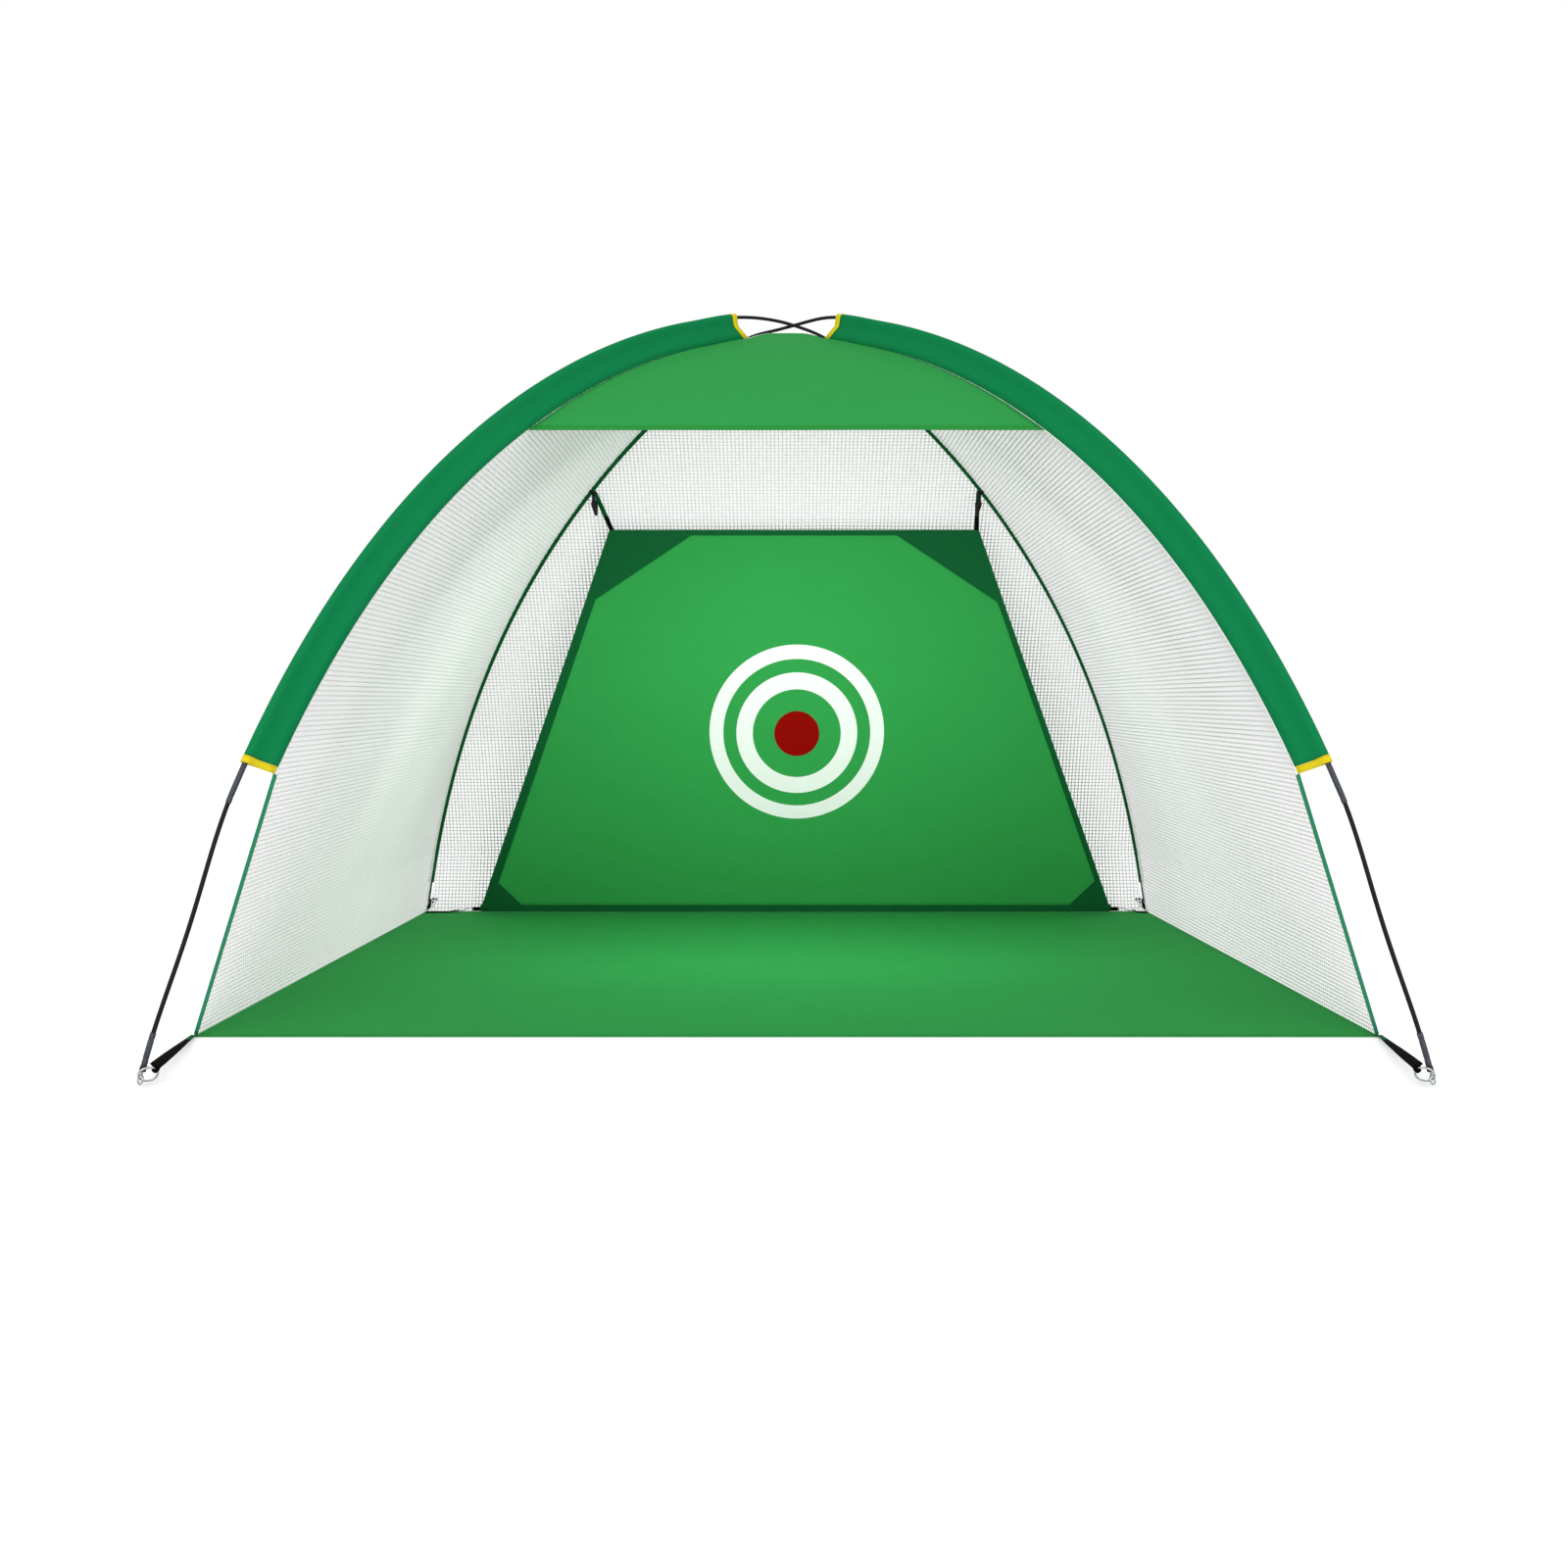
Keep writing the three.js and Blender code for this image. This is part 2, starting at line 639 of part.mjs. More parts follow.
// ---------------------------------------------------------------- pole sleeves
// A front sleeve's section: round over the pole, then both layers run together to its hem.
function sleeveSection(side, station, proud) {
  const hem = mirroredHem(side, station.t);
  const along = new THREE.Vector3().crossVectors(station.up, station.lateral).normalize();
  const skew = hem.dot(along);
  const toHem = hem.clone().addScaledVector(along, -skew);
  const reach = toHem.length() - webSeamGap - proud;
  const d = toHem.normalize();
  const m = new THREE.Vector3().crossVectors(along, d);
  const shift = pocketRadius * Math.cos(pocketArc / pocketSteps / 2) - ferruleRadius - touch;
  const at = (x, y) => station.point.clone().addScaledVector(d, x).addScaledVector(m, y);
  const arc = (radius) => Array.from({ length: pocketSteps + 1 }, (_, i) => {
    const angle = Math.PI + pocketArc * (i / pocketSteps - 0.5);
    return at(shift + radius * Math.cos(angle), -radius * Math.sin(angle));
  });
  const half = sleeveWeb / 2 + proud;
  const hemEdge = [at(reach, half), at(reach, -half)].map((p) => p.addScaledVector(along, skew));
  return {
    outer: [...arc(pocketRadius + sleeveWall + proud), at(pocketTaper, half), ...hemEdge, at(pocketTaper, -half)],
    inner: [...arc(pocketRadius), at(pocketTaper - sleeveWeb, 0)],
  };
}

function frontSleevePiece(side, from, to, proud) {
  const stations = stationsOf(front, side, bindingMarks)
    .filter((s) => s.arc > from - 0.01 && s.arc < to + 0.01);
  const sections = stations.map((s) => sleeveSection(side, s, proud));
  return ringSolid(sections.map((s) => s.outer), sections.map((s) => s.inner));
}

function rearSleeve(side) {
  const run = [rearSleeveStart, rearSleeveEnd];
  const stations = stationsOf(rear, side, run);
  return ringSolid(
    ringsAlong(stations, [[...run, rearSleeveOuter]], rearSleeveSides),
    ringsAlong(stations, [[...run, rearSleeveRadius]], rearSleeveSides),
  );
}

// ---------------------------------------------------------------- rings, tabs and pins
function torusSolid(centre, x, y, radius, wire, segments, sides) {
  const z = new THREE.Vector3().crossVectors(x, y);
  const points = [];
  const faces = [];
  for (let i = 0; i < segments; i += 1) {
    const turn = (2 * Math.PI * (i + 0.5)) / segments;
    const out = x.clone().multiplyScalar(Math.cos(turn)).addScaledVector(y, Math.sin(turn));
    for (let j = 0; j < sides; j += 1) {
      const angle = (2 * Math.PI * (j + 0.5)) / sides;
      points.push(centre.clone().addScaledVector(out, radius + wire * Math.cos(angle))
        .addScaledVector(z, wire * Math.sin(angle)));
    }
    band(faces, i * sides, ((i + 1) % segments) * sides, sides, false);
  }
  return closedSolid(points, faces);
}

function rodSolid(from, to, radius, sides) {
  const along = new THREE.Vector3().subVectors(to, from);
  const steep = Math.abs(along.z) > along.length() / 2;
  const side = steep ? new THREE.Vector3(1, 0, 0) : new THREE.Vector3(0, 0, 1);
  return sweepSolid([from, to], side, () => circleSection(radius, sides));
}

function joined(...solids) {
  return solids.map(toManifold).reduce((a, b) => a.add(b));
}

const ringSegments = 14;
const eyeSegments = 10;
const wireSides = 6;
const thinWireSides = 6;
const boreSides = 8;
const loopSides = 10;

// Everything at one foot: the ring stands up from the pin's eye towards the floor's corner,
// and the webbing leaves it from the far side.
function footFrame(side, half) {
  const [end, next] = stationsOf(half, side);
  const axis = new THREE.Vector3().subVectors(next.point, end.point).normalize();
  const eye = end.point.clone().addScaledVector(axis, -pinExposed);
  const back = half === front ? 1 : -1;
  const corner = new THREE.Vector3((side * floorWidth) / 2, half === front ? floorFrontY : floorRearY, 0);
  const heading = new THREE.Vector3(-side * Math.cos(ringHeading), back * Math.sin(ringHeading), 0);
  const outward = new THREE.Vector3(-heading.y, heading.x, 0)
    .multiplyScalar(side * back * Math.sin(ringLean));
  const upright = outward.setZ(Math.cos(ringLean));
  const within = (angle) => heading.clone().multiplyScalar(Math.cos(angle))
    .addScaledVector(upright, Math.sin(angle));
  const rise = within(ringRise);
  const across = within(ringRise + Math.PI / 2);
  const lean = across.clone().addScaledVector(axis, -across.dot(axis)).normalize();
  const flat = new THREE.Vector3().crossVectors(lean, axis);
  const level = rise.clone().addScaledVector(lean, -rise.dot(lean)).normalize();
  const wireAt = eye.clone().addScaledVector(level, ringEase);
  const ringCentre = wireAt.clone().addScaledVector(rise, ringRadius);
  return { axis, eye, corner, lean, flat, rise, across, ringCentre };
}

function cornerPin({ axis, eye, lean, flat }) {
  const loop = torusSolid(eye, axis, flat, eyeBore + eyeWire, eyeWire, eyeSegments, wireSides);
  const collarTop = pinExposed - touch;
  const profile = [
    [eyeBore + eyeWire, pinRadius], [collarTop - collarLength, pinRadius],
    [collarTop - collarLength, collarRadius], [collarTop, collarRadius],
    [collarTop, pinRadius], [pinExposed + pinInPole, pinRadius],
  ];
  const stem = ringSolid(profile.map(([height, radius]) => circleSection(radius, poleSides)
    .map(([a, b]) => eye.clone().addScaledVector(axis, height).addScaledVector(lean, a).addScaledVector(flat, b))));
  return fromManifold(joined(loop, stem));
}

function cornerRing({ rise, across, ringCentre }) {
  return torusSolid(ringCentre, rise, across, ringRadius, ringWire, ringSegments, wireSides);
}

// A strip from [place, width direction, thickness direction, width, thickness] rows.
function stripSolid(rows) {
  return ringSolid(rows.map(([at, wide, thick, width, thickness]) => flatSection(width, thickness)
    .map(([a, b]) => at.clone().addScaledVector(wide, a).addScaledVector(thick, b))));
}

// Webbing sewn round the far side of a ring: a strip that ends in a loop.
function ringLoop(ring, pull, across, loop, strip) {
  const reach = ring.radius + loop.bore - ring.wire - touch;
  const heart = ring.centre.clone().addScaledVector(pull, reach);
  const half = across.clone().multiplyScalar(loop.width / 2);
  const eye = rodSolid(heart.clone().sub(half), heart.clone().add(half), loop.bore + loop.wall, loopSides);
  const bore = torusSolid(ring.centre, pull, across, reach, loop.bore, ringSegments, boreSides);
  return fromManifold(joined(eye, strip(heart)).subtract(toManifold(bore)));
}

function cornerWebbing({ corner, rise, across, ringCentre }) {
  const ring = { centre: ringCentre, radius: ringRadius, wire: ringWire };
  const strip = (heart) => {
    const away = new THREE.Vector3().subVectors(heart, corner).setZ(0).normalize();
    const end = corner.clone().addScaledVector(away, touch).setZ(floorThickness + tabThickness / 2);
    const pull = new THREE.Vector3().subVectors(end, heart);
    pull.addScaledVector(across, -pull.dot(across)).normalize();
    const up = new THREE.Vector3().crossVectors(across, pull).normalize();
    const root = tabLoop.bore + tabLoop.wall;
    const flatRow = new THREE.Vector3(Math.sign(across.x), 0, 0);
    const upright = new THREE.Vector3(0, 0, Math.sign(up.z));
    return stripSolid([
      [heart.clone().addScaledVector(pull, root - tabLoop.wall / 2), across, up, tabLoop.width, tabThickness],
      [heart.clone().addScaledVector(pull, root + tabRoot), across, up, tabWidthAtRing, tabThickness],
      [end, flatRow, upright, tabWidthAtFloor, tabThickness],
    ]);
  };
  return ringLoop(ring, rise, across, tabLoop, strip);
}

// ---------------------------------------------------------------- the target
function targetPoint(row, share) {
  return new THREE.Vector3(row.shift + (share - 0.5) * row.width, row.y, row.z);
}
const targetUp = new THREE.Vector3(0, targetTop.y - targetBottom.y, targetTop.z - targetBottom.z).normalize();
const targetFront = new THREE.Vector3(0, -targetUp.z, targetUp.y);

function targetSheet() {
  const rows = [0, 0.5, 1].map((f) => {
    const left = targetPoint(targetBottom, 0).lerp(targetPoint(targetTop, 0), f);
    const right = targetPoint(targetBottom, 1).lerp(targetPoint(targetTop, 1), f);
    return [0, 0.25, 0.5, 0.75, 1].map((c) => left.clone().lerp(right, c));
  });
  return clothSolid(rows, targetThickness);
}

// A three-cornered patch in front of one corner of the sheet.
function targetPatch(side, row, other, size) {
  const share = side === LEFT ? 0 : 1;
  const corner = targetPoint(row, share);
  const along = corner.clone().add(new THREE.Vector3(-side * size.width, 0, 0));
  const edge = new THREE.Vector3().subVectors(targetPoint(other, share), corner).normalize();
  const upright = corner.clone().addScaledVector(edge, size.height);
  const front = targetThickness / 2 + touch;
  const layers = [front, front + patchThickness]
    .map((off) => [corner, along, upright].map((p) => p.clone().addScaledVector(targetFront, off)));
  return ringSolid(layers);
}

// The clip's frame on the rear sleeve: it opens the way that a falling target leaves it.
function clipFrame(side) {
  const t = parameterAtHeight(meanRear, anchorHeight);
  const pole = rearHalf[side].getPoint(t);
  const along = rearHalf[side].getTangent(t);
  const away = new THREE.Vector3(0, pole.z - targetBottom.z, targetBottom.y - pole.y).normalize();
  const open = away.clone().addScaledVector(along, -away.dot(along)).normalize();
  const down = new THREE.Vector3().crossVectors(along, open);
  if (down.z > 0) {
    down.negate();
  }
  return { pole, along, open, down };
}

function clipPath({ pole, open, down }) {
  const bend = rearSleeveOuter + touch + clipThickness / 2;
  const turns = Array.from({ length: 9 }, (_, i) => Math.PI / 2 + (Math.PI * i) / 8);
  const bow = turns.map((a) => pole.clone()
    .addScaledVector(open, bend * Math.cos(a)).addScaledVector(down, bend * Math.sin(a)));
  const upper = bow.at(-1).clone().addScaledVector(open, clipJaw);
  const lower = bow[0].clone().addScaledVector(open, clipJaw / 2);
  return [lower, ...bow, upper];
}

// A small plate hung straight down from a point, from [drop, width] rows.
function hangingPlate(top, rows, thickness) {
  return ringSolid(rows.map(([drop, width]) => flatSection(width, thickness)
    .map(([a, b]) => new THREE.Vector3(top.x + a, top.y + b, top.z - drop))));
}

const fingerStep = 3; // the finger tab leaves the bow at this point of its path
const fingerRows = [0, 0.15, 0.4, 0.6, 1]; // where the tab's width changes, as shares of its drop
const fingerTaper = 0.85;

function targetClip(side) {
  const frame = clipFrame(side);
  const path = clipPath(frame);
  const jaws = sweepSolid(path, frame.along, () => flatSection(clipWidth, clipThickness));
  const { drop, neck, width } = clipFinger;
  const widths = [neck, neck, width, width * fingerTaper, neck];
  const fingerShape = fingerRows.map((f, i) => [f * drop, widths[i]]);
  const finger = hangingPlate(path[fingerStep], fingerShape, clipThickness);
  return fromManifold(joined(jaws, finger));
}

function targetStrap(side) {
  const { pole, along, open, down } = clipFrame(side);
  const drop = rearSleeveOuter + touch + clipThickness + touch;
  const top = pole.clone().addScaledVector(down, drop);
  const inset = new THREE.Vector3((-side * strapWidth) / 2, 0, 0);
  const foot = targetPoint(targetTop, side === LEFT ? 0 : 1).add(inset).addScaledVector(targetUp, touch);
  const level = new THREE.Vector3(-side, 0, 0);
  const front = targetFront.clone().multiplyScalar(open.dot(targetFront) < 0 ? -1 : 1);
  return stripSolid([0, 0.25, 0.5, 1].map((f) => [
    top.clone().lerp(foot, f),
    along.clone().lerp(level, f).normalize(),
    open.clone().lerp(front, f).normalize(),
    strapWidth, strapThickness,
  ]));
}

// The lower corners, one behind the other along the hinge line: a webbing tab on the target
// with a round stub, a wire hook whose eye turns on the stub, and a strap on the floor.
function lowerCorner(side) {
  const out = new THREE.Vector3(side, 0, 0);
  const corner = targetPoint(targetBottom, side === LEFT ? 0 : 1);
  const along = (distance, z = targetBottom.z) => (
    new THREE.Vector3(corner.x + side * distance, targetBottom.y, z));
  const tabEnd = touch + cornerTab.reach;
  const eyeAt = tabEnd + touch + hookWire;
  const floorZ = floorThickness + touch + cornerTab.thickness / 2;
  const far = new THREE.Vector3(side * (floorWidth / 2 - 2 * clothInset), targetBottom.y, floorZ);
  const ringCentre = along(eyeAt + hookLength, (floorZ + targetBottom.z) / 2);
  return { out, along, tabEnd, eyeAt, far, ringCentre };
}

function targetTab(side) {
  const { along, tabEnd, eyeAt } = lowerCorner(side);
  const row = (distance) => [along(distance), targetUp, targetFront, cornerTab.width, cornerTab.thickness];
  const strip = stripSolid([row(touch), row(tabEnd)]);
  const stubRadius = hookEye - hookWire - touch;
  const stub = rodSolid(along(tabEnd - cornerTab.stub), along(eyeAt + 2 * hookWire), stubRadius, 12);
  return fromManifold(joined(strip, stub));
}

function floorHook(side) {
  const { out, along, eyeAt, ringCentre } = lowerCorner(side);
  const back = new THREE.Vector3(0, 1, 0);
  const up = new THREE.Vector3(0, 0, 1);
  const eye = torusSolid(along(eyeAt), back, up, hookEye, hookWire, eyeSegments, thinWireSides);
  const ring = torusSolid(ringCentre, out, back, hookRing, hookWire, eyeSegments, thinWireSides);
  const level = targetBottom.z + hookEye;
  const bend = along(eyeAt + 4 * hookWire, level);
  const rim = ringCentre.clone().addScaledVector(out, -hookRing);
  const rodPath = [along(eyeAt, level), bend, rim];
  const rod = sweepSolid(rodPath, back, () => circleSection(hookWire, thinWireSides));
  return fromManifold(joined(eye, ring, rod));
}

function floorStrap(side) {
  const { out, far, ringCentre } = lowerCorner(side);
  const back = new THREE.Vector3(0, 1, 0);
  const up = new THREE.Vector3(0, 0, 1);
  const row = (at, width) => [at, back, up, width, tabThickness];
  const strip = (heart) => stripSolid([
    row(heart.clone().addScaledVector(out, hookLoop.bore + hookLoop.wall / 2), hookLoop.width),
    row(heart.clone().addScaledVector(out, hookLoop.bore + 3 * hookLoop.wall), floorStrapWidth),
    row(far, floorStrapWidth),
  ]);
  return ringLoop({ centre: ringCentre, radius: hookRing, wire: hookWire }, out, back, hookLoop, strip);
}

function floorSheet() {
  const slab = new THREE.BoxGeometry(floorWidth, floorDepth, floorThickness);
  slab.translate(0, floorCentreY, floorThickness / 2);
  return slab;
}

// ---------------------------------------------------------------- the assembly
const net = new THREE.Group();
net.name = 'golf_chipping_net';

function add(name, geometry, material) {
  const mesh = new THREE.Mesh(geometry, material);
  mesh.name = name;
  geometry.computeVertexNormals();
  net.add(mesh);
}

add('floor_sheet', floorSheet(), lightGreenCloth);
for (const side of [LEFT, RIGHT]) {
  const stations = poleStations(side);
  for (let i = 0; i < poleSections; i += 1) {
    add(`${sideName[side]}_pole_section_${i + 1}`, poleSection(stations, i), fibreglass);
  }
}
for (const half of [front, rear]) {
  for (const side of [LEFT, RIGHT]) {
    const place = `${half === front ? 'front' : 'rear'}_${sideName[side]}`;
    const foot = footFrame(side, half);
    add(`corner_pin_${place}`, cornerPin(foot), zincSteel);
    add(`corner_ring_${place}`, cornerRing(foot), zincSteel);
    add(`corner_webbing_${place}`, cornerWebbing(foot), blackWebbing);
  }
}
for (const side of [LEFT, RIGHT]) {
  const name = sideName[side];
  const low = sleeveStart + bindingWidth;
  const top = sleeveEnd - bindingWidth;
  add(`front_sleeve_${name}`, frontSleevePiece(side, low + touch, top - touch, 0), darkGreenCloth);
  add(`sleeve_binding_low_${name}`, frontSleevePiece(side, sleeveStart, low, bindingProud), yellowTape);
  add(`sleeve_binding_top_${name}`, frontSleevePiece(side, top, sleeveEnd, bindingProud), yellowTape);
  add(`rear_sleeve_${name}`, rearSleeve(side), rearGreenCloth);
  add(`edge_tape_${name}`, edgeTape(side), midGreenTape);
  add(`side_net_${name}`, sideNet(side), whiteNet);
}
add('rear_net', rearNet(), whiteNet);
add('hood', hood(), lightGreenCloth);
add('target_sheet', targetSheet(), lightGreenCloth);
for (const side of [LEFT, RIGHT]) {
  const name = sideName[side];
  add(`target_patch_upper_${name}`, targetPatch(side, targetTop, targetBottom, topPatch), patchCloth);
  add(`target_patch_lower_${name}`, targetPatch(side, targetBottom, targetTop, bottomPatch), patchCloth);
  add(`target_clip_${name}`, targetClip(side), blackPlastic);
  add(`target_strap_${name}`, targetStrap(side), rearGreenCloth);
  add(`target_tab_${name}`, targetTab(side), blackWebbing);
  add(`floor_hook_${name}`, floorHook(side), zincSteel);
  add(`floor_strap_${name}`, floorStrap(side), blackWebbing);
}

export default net;
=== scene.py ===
import math
import random
import bmesh
import bpy
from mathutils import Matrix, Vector


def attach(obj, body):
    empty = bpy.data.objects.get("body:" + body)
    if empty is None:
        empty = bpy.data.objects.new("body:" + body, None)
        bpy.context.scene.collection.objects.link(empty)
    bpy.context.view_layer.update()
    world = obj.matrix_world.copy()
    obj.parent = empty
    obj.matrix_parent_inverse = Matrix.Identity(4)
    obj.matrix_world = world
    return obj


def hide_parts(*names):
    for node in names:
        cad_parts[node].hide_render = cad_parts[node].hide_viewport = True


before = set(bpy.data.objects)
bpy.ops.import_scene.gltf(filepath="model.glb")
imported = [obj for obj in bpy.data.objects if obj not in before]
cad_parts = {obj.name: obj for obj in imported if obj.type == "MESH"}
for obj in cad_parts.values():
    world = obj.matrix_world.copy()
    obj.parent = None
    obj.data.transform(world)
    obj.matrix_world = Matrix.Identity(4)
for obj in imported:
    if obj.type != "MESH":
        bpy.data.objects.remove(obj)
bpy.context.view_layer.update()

# ---------------------------------------------------------------- studio
# A white studio floor under a bright, even sky, with two broad lamps low in front and two soft
# ones in the opening for the inside. The camera stands low in front, as in the photo.
def linear(hex_colour):
    parts = [int(hex_colour[i:i + 2], 16) / 255 for i in (1, 3, 5)]
    return [c / 12.92 if c <= 0.04045 else ((c + 0.055) / 1.055) ** 2.4 for c in parts] + [1]


def put(tree, kind, links=None, **settings):
    node = tree.nodes.new(kind)
    for key, value in settings.items():
        setattr(node, key, value)
    for key, value in (links or {}).items():
        socket = node.inputs[key]
        if isinstance(value, bpy.types.NodeSocket):
            tree.links.new(value, socket)
        else:
            socket.default_value = value
    return node


def blank_material(name):
    material = bpy.data.materials.new(name)
    material.use_nodes = True
    material.node_tree.nodes.clear()
    return material, material.node_tree


scene = bpy.context.scene
scene.view_settings.view_transform = "Standard"
camera = bpy.data.objects.new("camera", bpy.data.cameras.new("camera"))
camera.location = (0, -2.7475, 0.538)
camera.rotation_euler = (math.radians(90), 0, 0)
camera.data.lens = 29.43
camera.data.sensor_width = 36
camera.data.shift_x = -0.00156
camera.data.shift_y = -0.0422
scene.collection.objects.link(camera)
scene.camera = camera

world = bpy.data.worlds.new("studio_sky")
world.use_nodes = True
world.node_tree.nodes.clear()
tree = world.node_tree
ray = put(tree, "ShaderNodeLightPath").outputs
seen = ray["Is Camera Ray"]
for kind in ("Is Glossy Ray", "Is Transmission Ray"):
    seen = put(tree, "ShaderNodeMath", {0: seen, 1: ray[kind]}, operation="MAXIMUM").outputs[0]
sky_light = put(tree, "ShaderNodeBackground", {"Color": (1, 1, 1, 1), "Strength": 0.87})
sky_white = put(tree, "ShaderNodeBackground", {"Color": (1, 1, 1, 1), "Strength": 1.0})
sky = put(tree, "ShaderNodeMixShader", {"Fac": seen, 1: sky_light.outputs[0], 2: sky_white.outputs[0]})
put(tree, "ShaderNodeOutputWorld", {"Surface": sky.outputs[0]})
scene.world = world

for name, place, aim, width, height, power in (
    ("key_lamp", (-2.3, -4.0, 1.5), (0, 0, 0.5), 2.2, 2.2, 37),
    ("fill_lamp", (2.4, -4.0, 1.2), (0, 0, 0.5), 2.2, 2.2, 31),
    ("inside_lamp", (0, -0.28, 0.75), (0, 0.8, 0.04), 0.7, 0.2, 3.3),
    ("low_lamp", (0, -0.12, 0.46), (0, 0.8, 0.22), 1.2, 0.1, 1.5),
):
    lamp = bpy.data.objects.new(name, bpy.data.lights.new(name, "AREA"))
    lamp.data.shape = "RECTANGLE"
    lamp.data.size, lamp.data.size_y = width, height
    lamp.data.energy = power
    lamp.location = place
    lamp.rotation_euler = (Vector(aim) - Vector(place)).to_track_quat("-Z", "Y").to_euler()
    lamp.visible_camera = False
    scene.collection.objects.link(lamp)

# White paper that glows a little to the camera alone, so that it meets the sky without a line.
paper, tree = blank_material("white_studio_paper")
dull = put(tree, "ShaderNodeBsdfDiffuse", {"Color": linear("#F7F7F7")}).outputs[0]
glow = put(tree, "ShaderNodeEmission", {"Color": (1, 1, 1, 1), "Strength": 0.27}).outputs[0]
lit = put(tree, "ShaderNodeAddShader", {0: dull, 1: glow}).outputs[0]
path = put(tree, "ShaderNodeLightPath").outputs["Is Camera Ray"]
bright = put(tree, "ShaderNodeMixShader", {"Fac": path, 1: dull, 2: lit})
put(tree, "ShaderNodeOutputMaterial", {"Surface": bright.outputs[0]})
ground_mesh = bpy.data.meshes.new("studio_floor")
ground_reach, ground_level = 30, -0.0006
corners = [(x * ground_reach, y * ground_reach, ground_level)
           for x, y in ((-1, -1), (1, -1), (1, 1), (-1, 1))]
ground_mesh.from_pydata(corners, [], [(0, 1, 2, 3)])
ground_mesh.materials.append(paper)
ground = bpy.data.objects.new("studio_floor", ground_mesh)
scene.collection.objects.link(ground)

# ---------------------------------------------------------------- floor sheet
# One panel of coated polyester that lies on the lawn and ties the four corners together.
# Its front hem is folded under and sewn; it carries a few soft ripples from its fold.
def varied(colour, factor):
    return [min(1, c * factor) for c in colour[:3]] + [1]


def ribs(tree, pitch_across, pitch_along):
    """The height of a weave whose threads cross at these pitches on the cloth's own flat."""
    flat = put(tree, "ShaderNodeUVMap", uv_map="cut")
    place = put(tree, "ShaderNodeSeparateXYZ", {0: flat.outputs[0]})
    height = 1.0
    for axis, pitch in (("X", pitch_across), ("Y", pitch_along)):
        turn = put(tree, "ShaderNodeMath", {
            0: place.outputs[axis], 1: math.pi / pitch}, operation="MULTIPLY")
        wave = put(tree, "ShaderNodeMath", {0: turn.outputs[0]}, operation="SINE")
        rib = put(tree, "ShaderNodeMath", {0: wave.outputs[0]}, operation="ABSOLUTE")
        height = put(tree, "ShaderNodeMath", {
            0: height, 1: rib.outputs[0]}, operation="MULTIPLY").outputs[0]
    return height


def woven(name, colour, thread):
    """Woven polyester: matt, with a fine plain weave. thread is in metres, drawn coarser
    than the real 0.4 mm so that it shows. Its raised threads carry a painted highlight,
    up to a tenth lighter."""
    material, tree = blank_material(name)
    weave = ribs(tree, thread, thread)
    coords = put(tree, "ShaderNodeTexCoord").outputs["Object"]
    cloud = put(tree, "ShaderNodeTexNoise", {
        "Vector": coords, "Scale": 7.0, "Detail": 4.0, "Roughness": 0.6}).outputs[0]
    grit = put(tree, "ShaderNodeTexNoise", {"Vector": coords, "Scale": 420.0, "Detail": 2.0}).outputs[0]
    darker, lighter = varied(linear(colour), 0.96), varied(linear(colour), 1.04)
    clouded = put(tree, "ShaderNodeMix", {"Factor": cloud, 6: darker, 7: lighter}, data_type="RGBA")
    # Painted highlight: the weave's raised threads are drawn up to a tenth lighter.
    crown_highlight = put(tree, "ShaderNodeMath", {0: weave, 1: 0.10}, operation="MULTIPLY").outputs[0]
    tone = put(tree, "ShaderNodeMix", {
        "Factor": crown_highlight, 6: clouded.outputs[2], 7: lighter}, data_type="RGBA").outputs[2]
    threads = put(tree, "ShaderNodeBump", {"Strength": 0.3, "Distance": 0.0004, "Height": weave})
    folds = put(tree, "ShaderNodeBump", {
        "Strength": 1.0, "Distance": 0.004, "Height": cloud, "Normal": threads.outputs[0]})
    rough = put(tree, "ShaderNodeMapRange", {"Value": grit, "To Min": 0.77, "To Max": 0.95})
    shader = put(tree, "ShaderNodeBsdfPrincipled", {
        "Base Color": tone, "Roughness": rough.outputs[0], "Normal": folds.outputs[0],
        "Specular IOR Level": 0.05})
    put(tree, "ShaderNodeOutputMaterial", {"Surface": shader.outputs[0]})
    return material


def finished(name, verts, faces, materials, smooth=True, uv=None, indices=None, outward=True):
    """Makes one piece at the origin. uv holds one point for each vertex, in metres."""
    mesh = bpy.data.meshes.new(name)
    mesh.from_pydata([tuple(v) for v in verts], [], faces)
    for material in materials:
        mesh.materials.append(material)
    if uv:
        layer = mesh.uv_layers.new(name="cut")
        for loop in mesh.loops:
            layer.data[loop.index].uv = uv[loop.vertex_index]
    if indices:
        mesh.polygons.foreach_set("material_index", indices)
    mesh.polygons.foreach_set("use_smooth", [smooth] * len(mesh.polygons))
    if outward:
        work = bmesh.new()
        work.from_mesh(mesh)
        bmesh.ops.recalc_face_normals(work, faces=work.faces)
        work.to_mesh(mesh)
        work.free()
    piece = bpy.data.objects.new(name, mesh)
    scene.collection.objects.link(piece)
    return piece


def cells(rows, columns):
    """The four corners of each cell in a grid of points kept row by row."""
    return [(r * columns + i, r * columns + i + 1, (r + 1) * columns + i + 1, (r + 1) * columns + i)
            for r in range(rows - 1) for i in range(columns - 1)]


